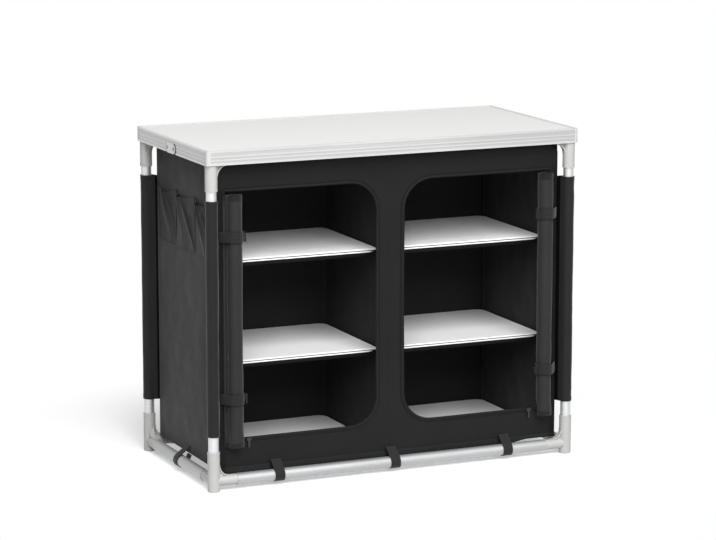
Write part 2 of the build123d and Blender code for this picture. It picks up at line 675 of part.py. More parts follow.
# Webbing loops that tie the cupboard's foot to the lower rails
with BuildPart() as rail_loops:
    for sy in (-1, 1):
        for x in (-LOOP_SPREAD, 0, LOOP_SPREAD):
            loop_plane = Plane(origin=(x - LOOP_W / 2, sy * LEG_Y, LOWER_RAIL_Z), z_dir=(1, 0, 0))
            with BuildSketch(loop_plane):
                Circle(LOOP_OUT_R)
                Circle(LOOP_IN_R, mode=Mode.SUBTRACT)
            extrude(amount=LOOP_W)
            tab_y = (BAG_Y, BAG_Y + LOOP_OUT_R - LOOP_IN_R)
            tab_z = (LOWER_RAIL_Z + 3, LOOP_TAB_TOP)
            with Locations((x, sy * (sum(tab_y) / 2 + 0.1), sum(tab_z) / 2)):
                Box(LOOP_W, tab_y[1] - tab_y[0], tab_z[1] - tab_z[0])
    for sx in (-1, 1):
        loop_plane = Plane(origin=(sx * LEG_X, -LOOP_W / 2, LOWER_RAIL_Z), z_dir=(0, 1, 0))
        with BuildSketch(loop_plane):
            Circle(LOOP_OUT_R)
            Circle(LOOP_IN_R, mode=Mode.SUBTRACT)
        extrude(amount=LOOP_W)
        tab_low = LOWER_RAIL_Z + LOOP_IN_R - 1
        tab_x = (BAG_X, LEG_X - LOOP_IN_R + 4)
        with Locations((sx * (sum(tab_x) / 2 + 0.1), 0, tab_low + 1)):
            Box(tab_x[1] - tab_x[0], LOOP_W, 1.6)
        with Locations((sx * (BAG_X + 0.9), 0, (tab_low + LOOP_TAB_TOP) / 2)):
            Box(1.6, LOOP_W, LOOP_TAB_TOP - tab_low)
save(rail_loops, "rail_loops")


def pocket_section(front, rear, ridge, shallow, deep):
    """A pocket's section: flat on the side panel, shallow at its front edge and deepest at its ridge."""
    face = -BAG_X
    with BuildSketch() as section:
        with BuildLine():
            Polyline(
                (face, front),
                (face - shallow, front + 4),
                (face - deep, ridge),
                (face - 0.35 * deep, rear),
                (face, rear),
                close=True,
            )
        make_face()
    return section.sketch


# Bellows pockets: open at the top, each a wedge that is deepest at its rear upper corner
wall = POCKET_CLOTH
pocket_sections = {}
for front, rear in POCKET_SPANS:
    foot_front = front + POCKET_FOOT_INSET
    foot_rear = rear - POCKET_FOOT_INSET
    ridge = rear - POCKET_RIDGE
    pocket_sections[(front, "foot")] = pocket_section(foot_front, foot_rear, ridge, 1.2, POCKET_FOOT_DEPTH)
    pocket_sections[(front, "mouth")] = pocket_section(front, rear, ridge, 4.0, POCKET_DEPTH)
    pocket_sections[(front, "inner foot")] = pocket_section(
        foot_front + wall, foot_rear - wall, ridge, 0.4, POCKET_FOOT_DEPTH - wall
    )
    pocket_sections[(front, "inner mouth")] = pocket_section(
        front + wall, rear - wall, ridge, 4.0 - wall, POCKET_DEPTH - wall
    )
with BuildPart() as side_pockets:
    for front, rear in POCKET_SPANS:
        with BuildSketch(Plane.XY.offset(POCKET_LOW)):
            add(pocket_sections[(front, "foot")])
        with BuildSketch(Plane.XY.offset(POCKET_HIGH)):
            add(pocket_sections[(front, "mouth")])
        loft(ruled=True)
    for front, rear in POCKET_SPANS:
        with BuildSketch(Plane.XY.offset(POCKET_LOW + POCKET_CLOTH)):
            add(pocket_sections[(front, "inner foot")])
        with BuildSketch(Plane.XY.offset(POCKET_HIGH + 0.01)):
            add(pocket_sections[(front, "inner mouth")])
        loft(ruled=True, mode=Mode.SUBTRACT)
save(side_pockets, "side_pockets")
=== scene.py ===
"""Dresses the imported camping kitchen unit: cloth, zips, webbing, laminate, aluminium and its studio."""
import math

import bmesh
import bpy
from mathutils import Matrix, Vector, noise


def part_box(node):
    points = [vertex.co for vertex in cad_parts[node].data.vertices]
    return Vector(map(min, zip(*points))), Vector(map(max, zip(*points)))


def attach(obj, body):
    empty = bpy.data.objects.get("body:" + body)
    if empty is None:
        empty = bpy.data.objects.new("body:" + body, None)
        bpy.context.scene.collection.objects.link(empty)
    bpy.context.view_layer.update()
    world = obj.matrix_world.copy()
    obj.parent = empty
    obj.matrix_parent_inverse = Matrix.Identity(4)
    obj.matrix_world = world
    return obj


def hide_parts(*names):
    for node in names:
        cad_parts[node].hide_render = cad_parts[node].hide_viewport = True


bl_info = {
    "name": "Camping Kitchen Unit",
    "version": (1, 0, 0),
    "blender": (4, 5, 0),
    "location": "3D View > Sidebar > Kitchen",
    "description": "Dresses a folding camping kitchen with cloth, zips, webbing, laminate and metal",
    "category": "Object",
}

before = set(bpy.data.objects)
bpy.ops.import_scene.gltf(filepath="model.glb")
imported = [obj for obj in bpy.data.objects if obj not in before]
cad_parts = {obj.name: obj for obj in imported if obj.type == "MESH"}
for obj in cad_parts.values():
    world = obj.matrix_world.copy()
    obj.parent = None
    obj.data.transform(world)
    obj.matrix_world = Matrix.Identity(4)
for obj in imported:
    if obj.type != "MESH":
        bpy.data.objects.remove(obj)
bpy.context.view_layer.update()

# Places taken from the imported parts, in metres
BAG_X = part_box("front_top_band")[1].x
BAG_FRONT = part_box("front_top_band")[0].y
BAG_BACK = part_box("back_panel")[1].y
BAG_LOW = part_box("front_bottom_band")[0].z
BAG_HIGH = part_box("front_top_band")[1].z
TAPE_LOW, TAPE_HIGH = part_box("zip_tapes")
STILE_X = TAPE_HIGH.x
ROLL_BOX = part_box("door_roll_right")
LEG_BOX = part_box("leg_front_right")
LEG_X = (LEG_BOX[0].x + LEG_BOX[1].x) / 2
LEG_Y = -(LEG_BOX[0].y + LEG_BOX[1].y) / 2
RAIL_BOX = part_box("lower_rail_front")
RAIL_Z = (RAIL_BOX[0].z + RAIL_BOX[1].z) / 2
RAIL_R = (RAIL_BOX[1].z - RAIL_BOX[0].z) / 2
TOP_RAIL_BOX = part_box("upper_rail_front")
TOP_RAIL_Z = (TOP_RAIL_BOX[0].z + TOP_RAIL_BOX[1].z) / 2
PLATE_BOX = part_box("hinge_links")
PLATE_R = (PLATE_BOX[1].z - PLATE_BOX[0].z) / 2
FOLD_Z = (PLATE_BOX[1].z + PLATE_BOX[0].z) / 2
FOLD_Y = PLATE_BOX[1].y - PLATE_R

# Sewing lines, in metres; each sheet lies in the middle of a panel 2 mm thick
IN_PANEL = 0.001
EDGE_INSET = 0.0015
ZIP_W = 0.010
COIL_AT = 0.0035
OPENING_LOW = TAPE_LOW.z + ZIP_W
OPENING_HIGH = TAPE_HIGH.z - ZIP_W
POST_X = 0.037
SEAM_X = -0.004
FOOT_SEAM = BAG_LOW + 0.0105
FRONT_FOOT = BAG_LOW - 0.0055
SIDE_Y = (BAG_FRONT + EDGE_INSET, BAG_BACK - EDGE_INSET)
UPRIGHT = (BAG_LOW + EDGE_INSET, BAG_HIGH)
SIDE_SLACK = -0.0045
SIDE_SEED = 11
STRAP_HEIGHTS = (0.218, 0.606)
LOOP_X = (-0.303, 0.0, 0.303)
THICKNESS = {
    "tape": 0.0006,
    "shelf": 0.0011,
    "sleeve": 0.0009,
    "hem": 0.0008,
    "loop": 0.0013,
    "door": 0.0011,
    "strap": 0.0012,
    "buckle": 0.0022,
    "pocket": 0.0009,
}

# Name, front edge, rear edge, the ridge at the foot and at the mouth, its share of the width, a second
# fold's height, how far the mouth droops at the ridge and how far it hangs at the front edge
POCKETS = (
    ("rear", 0.064, 0.197, 0.097, 0.140, 0.57, 0.0010, 0.0150, 0.0),
    ("middle", -0.066, 0.060, 0.014, 0.038, 0.72, 0.0034, 0.0130, 0.0),
    ("front", -0.170, -0.070, -0.130, -0.092, 0.70, 0.0012, 0.0135, 0.0095),
)
POCKET_RISE = 0.0088

# Looks
THREAD = 0.0011
WAVE_UNIT = 6.283
CLOTH_GLOSS = 0.15
BLACK_PLASTIC = (0.012, 0.012, 0.012)
# Distance from the middle at which the painted shadow on the front's outer stiles begins
STILE_SHADE = 0.4285
# Level bands of the edge profile's grooves, darkened there as painted shade
EDGE_GROOVES = ((0.7836, 0.7893), (0.7919, 0.7971), (0.7997, 0.8094))
# Level bands of the shelf boards' edge grooves, darkened there as painted shade
BOARD_GROOVES = [
    (top - 0.0059, top - 0.0037)
    for top in (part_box(f"shelf_board_left_{level}")[1].z for level in ("lower", "middle", "upper"))
]
FLOOR_GLOW = 0.42
FINISHES = {}

SIDES = ((-1, "left"), (1, "right"))
TINY = 1e-6


class KitchenSizes(bpy.types.PropertyGroup):
    """Sizes of the sewn parts."""

    cloth: bpy.props.FloatProperty(
        name="Cloth", description="Thickness of the cupboard's cloth", default=0.0014, unit="LENGTH"
    )
    opening_radius: bpy.props.FloatProperty(
        name="Opening Corner", description="Radius of the door openings' inner corners", default=0.070,
        unit="LENGTH",
    )
    post_sag: bpy.props.FloatProperty(
        name="Post Slack", description="How far the middle post is drawn in", default=0.008, unit="LENGTH"
    )
    webbing: bpy.props.FloatProperty(
        name="Webbing Width", description="Width of the straps on the rolled doors", default=0.025,
        unit="LENGTH",
    )
    roll_pitch: bpy.props.FloatProperty(
        name="Roll Pitch", description="Distance between two turns of a rolled door", default=0.0034,
        unit="LENGTH",
    )


class KitchenColours(bpy.types.PropertyGroup):
    """Colours of the finishes."""

    cloth: bpy.props.FloatVectorProperty(
        name="Cloth", description="Colour of the black cloth", subtype="COLOR",
        default=(0.0075, 0.0075, 0.0078),
    )
    door_cloth: bpy.props.FloatVectorProperty(
        name="Door Cloth", description="Colour of the rolled doors", subtype="COLOR",
        default=(0.021, 0.021, 0.021),
    )
    sleeve_cloth: bpy.props.FloatVectorProperty(
        name="Sleeve Cloth", description="Colour of the sleeves round the legs", subtype="COLOR",
        default=(0.012, 0.012, 0.0125),
    )
    webbing: bpy.props.FloatVectorProperty(
        name="Webbing", description="Colour of the webbing", subtype="COLOR",
        default=(0.016, 0.016, 0.0165),
    )
    tube: bpy.props.FloatVectorProperty(
        name="Tube", description="Colour of the aluminium tubes", subtype="COLOR",
        default=(0.58, 0.585, 0.59),
    )
    edge: bpy.props.FloatVectorProperty(
        name="Edge Profile", description="Colour of the worktop's edge", subtype="COLOR",
        default=(0.62, 0.62, 0.625),
    )
    plastic: bpy.props.FloatVectorProperty(
        name="Connectors", description="Colour of the connectors", subtype="COLOR",
        default=(0.47, 0.47, 0.458),
    )
    laminate: bpy.props.FloatVectorProperty(
        name="Worktop", description="Colour of the worktop's laminate", subtype="COLOR",
        default=(0.80, 0.80, 0.785),
    )
    shelf: bpy.props.FloatVectorProperty(
        name="Shelves", description="Colour of the shelf boards", subtype="COLOR",
        default=(0.93, 0.93, 0.93),
    )


def sizes():
    """The sizes set for this scene."""
    return bpy.context.scene.kitchen_sizes


def colours():
    """The colours set for this scene."""
    return bpy.context.scene.kitchen_colours


# Materials


def start_material(name):
    """A new node material, its tree, its shader and a texture coordinate node."""
    material = bpy.data.materials.new(name)
    material.use_nodes = True
    tree = material.node_tree
    where = tree.nodes.new("ShaderNodeTexCoord")
    return material, tree, tree.nodes["Principled BSDF"], where


def add_noise(tree, source, scale, detail, stretch=(1, 1, 1)):
    """A noise texture on the given coordinates; returns its factor socket."""
    mapping = tree.nodes.new("ShaderNodeMapping")
    mapping.inputs["Scale"].default_value = stretch
    texture = tree.nodes.new("ShaderNodeTexNoise")
    texture.inputs["Scale"].default_value = scale
    texture.inputs["Detail"].default_value = detail
    tree.links.new(source, mapping.inputs["Vector"])
    tree.links.new(mapping.outputs["Vector"], texture.inputs["Vector"])
    return texture.outputs["Fac"]


def add_wave(tree, source, width, direction, distortion=0.0):
    """Straight bands about as wide as given across one direction; returns the factor socket."""
    texture = tree.nodes.new("ShaderNodeTexWave")
    texture.bands_direction = direction
    texture.inputs["Scale"].default_value = 1 / width / WAVE_UNIT
    texture.inputs["Distortion"].default_value = distortion
    tree.links.new(source, texture.inputs["Vector"])
    return texture.outputs["Fac"]


def map_range(tree, value, low, high, to_low, to_high):
    """The value rescaled from one range to another."""
    remap = tree.nodes.new("ShaderNodeMapRange")
    for place, number in enumerate((low, high, to_low, to_high)):
        remap.inputs[place + 1].default_value = number
    tree.links.new(value, remap.inputs["Value"])
    return remap.outputs["Result"]


def combine(tree, operation, first, second=0.0):
    """A math node on two sockets, or on a socket and a number."""
    math_node = tree.nodes.new("ShaderNodeMath")
    math_node.operation = operation
    for place, value in enumerate((first, second)):
        if isinstance(value, (int, float)):
            math_node.inputs[place].default_value = value
        else:
            tree.links.new(value, math_node.inputs[place])
    return math_node.outputs["Value"]


def away_from(tree, value, middle):
    """How far a value lies from a number, either way."""
    return combine(tree, "ABSOLUTE", combine(tree, "SUBTRACT", value, middle))


def weighted(tree, *terms):
    """The sum of several sockets, each times its share."""
    parts = [combine(tree, "MULTIPLY", socket, share) for socket, share in terms]
    total = parts[0]
    for part in parts[1:]:
        total = combine(tree, "ADD", total, part)
    return total


def sum_of_squares(tree, first, second):
    """The squared length of a pair of sockets."""
    squares = [combine(tree, "MULTIPLY", value, value) for value in (first, second)]
    return combine(tree, "ADD", *squares)


def highest(tree, values):
    """The highest of several sockets."""
    top = values[0]
    for value in values[1:]:
        top = combine(tree, "MAXIMUM", top, value)
    return top


def scaled(colour, factor):
    """A colour made lighter or darker."""
    return tuple(min(1.0, c * factor) for c in colour)


def set_colour(tree, shader, factor, colour, dark, light):
    """The shader's colour: between two shades of the given colour, by a factor socket."""
    mix = tree.nodes.new("ShaderNodeMix")
    mix.data_type = "RGBA"
    mix.inputs["A"].default_value = (*scaled(colour, dark), 1)
    mix.inputs["B"].default_value = (*scaled(colour, light), 1)
    tree.links.new(factor, mix.inputs["Factor"])
    tree.links.new(mix.outputs["Result"], shader.inputs["Base Color"])


def set_roughness(tree, shader, factor, low, high):
    """The shader's roughness: between two numbers over the middle of a noise's range."""
    tree.links.new(map_range(tree, factor, 0.3, 0.7, low, high), shader.inputs["Roughness"])


def add_bump(tree, shader, height, strength, distance, before=None):
    """Bump on the shader's normal, after an earlier bump where one is given."""
    bump = tree.nodes.new("ShaderNodeBump")
    bump.inputs["Strength"].default_value = strength
    bump.inputs["Distance"].default_value = distance
    tree.links.new(height, bump.inputs["Height"])
    if before is not None:
        tree.links.new(before, bump.inputs["Normal"])
    tree.links.new(bump.outputs["Normal"], shader.inputs["Normal"])
    return bump.outputs["Normal"]


def woven_cloth(name, colour, roughness, sheen):
    """Plain weave: two crossed sets of threads on the piece's own UV map, with soft creases."""
    material, tree, shader, where = start_material(name)
    uv, place = where.outputs["UV"], where.outputs["Object"]
    across = add_wave(tree, uv, THREAD, "X", distortion=0.4)
    along = add_wave(tree, uv, THREAD, "Y", distortion=0.4)
    weave = combine(tree, "MULTIPLY", across, along)
    cloudy = add_noise(tree, place, scale=9.0, detail=3.0)
    dusty = add_noise(tree, place, scale=140.0, detail=2.0)
    tone = weighted(tree, (cloudy, 0.7), (weave, 0.3))
    set_colour(tree, shader, tone, colour, dark=0.75, light=1.35)
    set_roughness(tree, shader, dusty, roughness - 0.06, roughness + 0.06)
    shader.inputs["Sheen Weight"].default_value = sheen
    shader.inputs["Sheen Roughness"].default_value = 0.4
    shader.inputs["Specular IOR Level"].default_value = CLOTH_GLOSS
    creases = add_bump(tree, shader, cloudy, strength=0.35, distance=0.004)
    add_bump(tree, shader, weave, strength=0.35, distance=0.0003, before=creases)
    return material


def webbing_weave(name, colour):
    """Narrow webbing: ribs across its length on the UV map, crossed by fine threads."""
    material, tree, shader, where = start_material(name)
    uv = where.outputs["UV"]
    ribs = add_wave(tree, uv, 0.0022, "Y", distortion=0.3)
    threads = add_wave(tree, uv, 0.0016, "X", distortion=0.6)
    weave = combine(tree, "MULTIPLY", ribs, threads)
    set_colour(tree, shader, weave, colour, dark=0.6, light=1.9)
    shader.inputs["Roughness"].default_value = 0.72
    shader.inputs["Specular IOR Level"].default_value = CLOTH_GLOSS
    shader.inputs["Sheen Weight"].default_value = 0.15
    add_bump(tree, shader, weave, strength=0.6, distance=0.0004)
    return material


def zipper(name, colour):
    """Zip tape on its UV map, which runs across from the opening's edge: knit ribs, the coil and a seam."""
    material, tree, shader, where = start_material(name)
    uv = where.outputs["UV"]
    split = tree.nodes.new("ShaderNodeSeparateXYZ")
    tree.links.new(uv, split.inputs["Vector"])
    across = split.outputs["X"]
    ribs = add_wave(tree, uv, 0.0013, "X", distortion=0.2)
    teeth = add_wave(tree, uv, 0.0018, "Y")
    seam_at = 0.0078
    coil = map_range(tree, away_from(tree, across, COIL_AT), 0.0010, 0.0016, 1.0, 0.0)
    seam = map_range(tree, away_from(tree, across, seam_at), 0.0002, 0.0004, 1.0, 0.0)
    stitch = combine(tree, "MULTIPLY", seam, add_wave(tree, uv, 0.0032, "Y"))
    tone = weighted(tree, (ribs, 0.35), (coil, 0.35), (stitch, 0.6))
    set_colour(tree, shader, tone, colour, dark=0.7, light=1.5)
    tree.links.new(map_range(tree, coil, 0.0, 1.0, 0.7, 0.38), shader.inputs["Roughness"])
    shader.inputs["Specular IOR Level"].default_value = CLOTH_GLOSS
    knit = add_bump(tree, shader, ribs, strength=0.3, distance=0.0003)
    toothed = combine(tree, "MULTIPLY", coil, teeth)
    add_bump(tree, shader, toothed, strength=0.7, distance=0.0006, before=knit)
    return material


def satin_metal(name, colour, roughness, grain):
    """Anodised aluminium: fine drawn lines and a few faint rubs."""
    material, tree, shader, where = start_material(name)
    place = where.outputs["Object"]
    lines = add_noise(tree, place, scale=60.0, detail=3.0, stretch=grain)
    rubs = add_noise(tree, place, scale=11.0, detail=5.0)
    set_colour(tree, shader, rubs, colour, dark=0.93, light=1.05)
    set_roughness(tree, shader, lines, roughness - 0.05, roughness + 0.07)
    shader.inputs["Metallic"].default_value = 1.0
    add_bump(tree, shader, lines, strength=0.12, distance=0.0002)
    return material


def moulded_plastic(name, colour, roughness):
    """Injection-moulded plastic with a fine spark texture."""
    material, tree, shader, where = start_material(name)
    place = where.outputs["Object"]
    spark = add_noise(tree, place, scale=900.0, detail=2.0)
    tone = add_noise(tree, place, scale=25.0, detail=3.0)
    set_colour(tree, shader, tone, colour, dark=0.95, light=1.04)
    set_roughness(tree, shader, spark, roughness - 0.05, roughness + 0.05)
    add_bump(tree, shader, spark, strength=0.15, distance=0.0002)
    return material


def laminate(name, colour, roughness, gloss):
    """Hard laminate with a fine orange-peel texture and hardly any tone."""
    material, tree, shader, where = start_material(name)
    place = where.outputs["Object"]
    peel = add_noise(tree, place, scale=700.0, detail=3.0)
    tone = add_noise(tree, place, scale=14.0, detail=4.0)
    set_colour(tree, shader, tone, colour, dark=0.985, light=1.01)
    set_roughness(tree, shader, peel, roughness - 0.05, roughness + 0.06)
    shader.inputs["Specular IOR Level"].default_value = gloss
    add_bump(tree, shader, peel, strength=0.12, distance=0.0002)
    return material


def with_parts(material):
    """A finished material's tree, its shader and the object coordinates as three sockets, to add to it."""
    tree = material.node_tree
    where = next(node for node in tree.nodes if node.type == "TEX_COORD")
    split = tree.nodes.new("ShaderNodeSeparateXYZ")
    tree.links.new(where.outputs["Object"], split.inputs["Vector"])
    return tree, tree.nodes["Principled BSDF"], split.outputs


def paint_shade(tree, shader, mask, share):
    """Paints shade: leaves only a share of the shader's colour where the mask is 1."""
    colour = shader.inputs["Base Color"].links[0].from_socket
    darker = tree.nodes.new("ShaderNodeMix")
    darker.data_type = "RGBA"
    darker.blend_type = "MULTIPLY"
    tree.links.new(mask, darker.inputs["Factor"])
    tree.links.new(colour, darker.inputs["A"])
    darker.inputs["B"].default_value = (share, share, share, 1)
    tree.links.new(darker.outputs["Result"], shader.inputs["Base Color"])


def with_painted_groove_shade(material, bands, share):
    """Paints shade on a material in level bands with soft edges: the grooves of an edge profile."""
    tree, shader, axes = with_parts(material)
    grooves = []
    for low, high in bands:
        reach = (high - low) / 2
        away = away_from(tree, axes["Z"], (low + high) / 2)
        grooves.append(map_range(tree, away, reach - 0.0002, reach + 0.0002, 1.0, 0.0))
    paint_shade(tree, shader, highest(tree, grooves), share)
    return material


def ribbed_metal_painted_shade(name, colour, roughness, grain):
    """The worktop's edge profile: drawn aluminium, with painted shade in the grooves between its ribs."""
    return with_painted_groove_shade(satin_metal(name, colour, roughness, grain), EDGE_GROOVES, 0.85)


def laminate_painted_groove_shade(name, colour, roughness, gloss):
    """The shelf boards' laminate, with painted shade in a groove line along the middle of the edge."""
    return with_painted_groove_shade(laminate(name, colour, roughness, gloss), BOARD_GROOVES, 0.12)


def painted_shade_cloth(name, colour):
    """Cloth that stands for the shade in a fold or a seam: a darker colour as painted shade, with no sheen
    and hardly any gloss.
    """
    material = woven_cloth(name, colour, roughness=0.8, sheen=0.0)
    material.node_tree.nodes["Principled BSDF"].inputs["Specular IOR Level"].default_value = 0.03
    return material


def front_cloth_painted_stile_shadow(name, colour, roughness, sheen):
    """The front's cloth, with a painted shadow on the two narrow stiles outside the rolled-up doors."""
    material = woven_cloth(name, colour, roughness, sheen)
    tree, shader, axes = with_parts(material)
    across = away_from(tree, axes["X"], 0.0)
    outside = map_range(tree, across, STILE_SHADE, STILE_SHADE + 0.004, 0.0, 1.0)
    beside = map_range(tree, axes["Z"], OPENING_HIGH + 0.004, OPENING_HIGH + 0.016, 1.0, 0.0)
    paint_shade(tree, shader, combine(tree, "MULTIPLY", outside, beside), 0.3)
    return material


def pocketed_cloth(name, colour, roughness, sheen):
    """The left side's cloth, with a painted shadow in a soft oval behind each pocket's gaping mouth."""
    material = woven_cloth(name, colour, roughness, sheen)
    tree, shader, axes = with_parts(material)
    oval_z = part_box("side_pockets")[1].z + POCKET_RISE - 0.010
    reach_y, reach_z = 0.040, 0.0125
    shadow_ovals = []
    for pocket in POCKETS:
        oval_y = pocket[4] + 0.008
        across = combine(tree, "DIVIDE", combine(tree, "SUBTRACT", axes["Y"], oval_y), reach_y)
        rise = combine(tree, "DIVIDE", combine(tree, "SUBTRACT", axes["Z"], oval_z), reach_z)
        shadow_ovals.append(map_range(tree, sum_of_squares(tree, across, rise), 0.5, 1.2, 1.0, 0.0))
    paint_shade(tree, shader, highest(tree, shadow_ovals), 0.05)
    return material


def steel_painted_end_shadow(name, colour, roughness):
    """The hinge plates: satin steel with a painted shadow line along their round ends."""
    material = satin_metal(name, colour, roughness, (1, 0.1, 1))
    tree, shader, axes = with_parts(material)
    beyond = combine(tree, "SUBTRACT", away_from(tree, axes["Y"], 0.0), FOLD_Y)
    past = combine(tree, "MAXIMUM", beyond, 0.0)
    rise = combine(tree, "SUBTRACT", axes["Z"], FOLD_Z)
    away = combine(tree, "SQRT", sum_of_squares(tree, past, rise))
    turning = combine(tree, "GREATER_THAN", past, 0.0005)
    rim = map_range(tree, away, PLATE_R - 0.0016, PLATE_R - 0.0009, 0.0, 1.0)
    paint_shade(tree, shader, combine(tree, "MULTIPLY", rim, turning), 0.08)
    return material


def finish(name):
    """The named finish, made once."""
    if name in FINISHES:
        return FINISHES[name]
    tint = colours()
    # The maker, the colour, the roughness, and a sheen, a grain or a gloss
    makers = {
        "black_cloth": (woven_cloth, tint.cloth, 0.62, 0.16),
        # The back and the partition: a lighter copy of the black cloth, as painted light inside the cupboard
        "lining_cloth": (woven_cloth, scaled(tint.cloth, 1.7), 0.7, 0.05),
        "pocketed_cloth": (pocketed_cloth, tint.cloth, 0.62, 0.16),
        "front_cloth": (front_cloth_painted_stile_shadow, tint.cloth, 0.62, 0.16),
        # The pockets: a darker copy of the black cloth as painted shade
        "pocket_cloth": (woven_cloth, scaled(tint.cloth, 0.6), 0.55, 0.10),
        "pocket_lining": (painted_shade_cloth, scaled(tint.cloth, 0.25)),
        "web_cloth": (painted_shade_cloth, scaled(tint.sleeve_cloth, 0.25)),
        # The shelf floors: a darker copy of the black cloth as painted shade under the boards
        "shelf_cloth": (woven_cloth, scaled(tint.cloth, 0.4), 0.75, 0.03),
        "rolled_cloth": (woven_cloth, tint.door_cloth, 0.6, 0.2),
        "sleeve_cloth": (woven_cloth, tint.sleeve_cloth, 0.6, 0.2),
        "black_webbing": (webbing_weave, tint.webbing),
        "knit_tape": (zipper, scaled(tint.cloth, 0.9)),
        "dark_tape": (webbing_weave, scaled(tint.webbing, 0.6)),
        # Lying tubes: darker copies of the tube colour as painted shade
        "tube_along_x": (satin_metal, scaled(tint.tube, 0.68), 0.62, (0.05, 1, 1)),
        "tube_along_y": (satin_metal, scaled(tint.tube, 0.74), 0.62, (1, 0.05, 1)),
        "tube_upright": (satin_metal, tint.tube, 0.62, (1, 1, 0.05)),
        "edge_along_x": (ribbed_metal_painted_shade, tint.edge, 0.5, (0.04, 1, 1)),
        "edge_along_y": (ribbed_metal_painted_shade, tint.edge, 0.5, (1, 0.04, 1)),
        "grey_plastic": (moulded_plastic, tint.plastic, 0.42),
        "cap_plastic": (moulded_plastic, scaled(tint.plastic, 1.15), 0.4),
        "black_plastic": (moulded_plastic, BLACK_PLASTIC, 0.35),
        "zip_lacquer": (moulded_plastic, BLACK_PLASTIC, 0.35),
        "plate_steel": (steel_painted_end_shadow, (0.60, 0.60, 0.60), 0.42),
        # Rivet heads: dark as painted shade in their recesses
        "pin_steel": (satin_metal, (0.24, 0.24, 0.24), 0.34, (1, 1, 1)),
        "pale_laminate": (laminate, tint.laminate, 0.42, 0.4),
        "white_laminate": (laminate_painted_groove_shade, tint.shelf, 0.5, 0.1),
    }
    maker, *values = makers[name]
    FINISHES[name] = maker(name, *values)
    return FINISHES[name]


# Mesh helpers


def make_piece(bm, name, body, material):
    """Turns a bmesh into a smooth piece that rides on a body."""
    mesh = bpy.data.meshes.new(name)
    bm.to_mesh(mesh)
    bm.free()
    for polygon in mesh.polygons:
        polygon.use_smooth = True
    piece = bpy.data.objects.new(name, mesh)
    bpy.context.scene.collection.objects.link(piece)
    mesh.materials.append(finish(material))
    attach(piece, body)
    return piece


def thicken(piece, thickness):
    """Gives a cloth surface its thickness, half to each side."""
    modifier = piece.modifiers.new("Cloth", "SOLIDIFY")
    modifier.thickness = thickness
    modifier.offset = 0.0
    modifier.use_even_offset = False
    shading = piece.modifiers.new("Shading", "WEIGHTED_NORMAL")
    shading.weight = 90
    return modifier


def sew(bm, name, material, thickness):
    """Turns a bmesh of cloth into a piece of the given thickness that rides on the frame."""
    bmesh.ops.recalc_face_normals(bm, faces=bm.faces)
    piece = make_piece(bm, name, "frame", material)
    thicken(piece, thickness)
    return piece


def round_off(piece, width):
    """Rounds a hard piece's edges."""
    modifier = piece.modifiers.new("Edges", "BEVEL")
    modifier.width = width
    modifier.segments = 2
    modifier.limit_method = "ANGLE"
    modifier.angle_limit = math.radians(40)


def map_uv(bm, faces, spot):
    """The UV map of some faces, by a function of a vertex's place."""
    layer = bm.loops.layers.uv.verify()
    for face in faces:
        for loop in face.loops:
            loop[layer].uv = spot(loop.vert.co)


def other_axes(normal):
    """The two axes, of 0, 1 and 2, that lie in a plane square to the given one."""
    return [axis for axis in range(3) if axis != normal]


def add_grid(bm, normal, place, first, second, cell):
    """A grid square to an axis: normal 0, 1 or 2, its place on it, and its limits on the other two axes."""
    axes = other_axes(normal)
    spans = (first[1] - first[0], second[1] - second[0])
    counts = [max(1, round(span / cell)) for span in spans]
    matrix = Matrix.Identity(4)
    for column, (axis, span) in enumerate(zip(axes, spans)):
        for row in range(3):
            matrix[row][column] = span if row == axis else 0.0
    for row in range(3):
        matrix[row][2] = 1.0 if row == normal else 0.0
        matrix[row][3] = place if row == normal else 0.0
    matrix[axes[0]][3] = sum(first) / 2
    matrix[axes[1]][3] = sum(second) / 2
    bmesh.ops.create_grid(bm, x_segments=counts[0], y_segments=counts[1], size=0.5, matrix=matrix)


def ripple(a, b, seed, size):
    """Smooth noise between -1 and 1 on a plane, with bumps of about the given size."""
    return noise.noise(Vector((a / size, b / size, seed * 3.7)))


def fold(value, centre, width):
    """A soft ridge of height 1 at the centre."""
    return math.exp(-(((value - centre) / width) ** 2))


def ease(value):
    """From 0 to 1 with level ends."""
    value = max(0.0, min(1.0, value))
    return value * value * (3 - 2 * value)


def arch(value):
    """From 0 up to 1 in the middle and down to 0 again."""
    return math.sin(math.pi * max(0.0, min(1.0, value)))


def even_steps(count):
    """Places from 0 to 1 at equal steps."""
    return [step / count for step in range(count + 1)]


def hemmed_steps(length, hem, cell):
    """Places from 0 to 1 along a length, closer together where a hem is folded over at each end."""
    edge, lip = hem / length, 0.0008 / length
    inner = max(2, round((length - 2 * hem) / cell))
    middle = [edge + lip + (1 - 2 * edge - 2 * lip) * step / inner for step in range(inner + 1)]
    return [0.0, edge / 2, edge - lip, *middle, 1 - edge + lip, 1 - edge / 2, 1.0]


def in_hem(value, length, hem):
    """Whether a place from 0 to 1 along a length is in the fold at either end."""
    return min(value, 1 - value) * length < hem - 0.0004


def hem_lift(value, length, hem, lift):
    """How far a folded hem stands proud of the cloth at a place from 0 to 1 along its length."""
    return lift if in_hem(value, length, hem) else 0.0


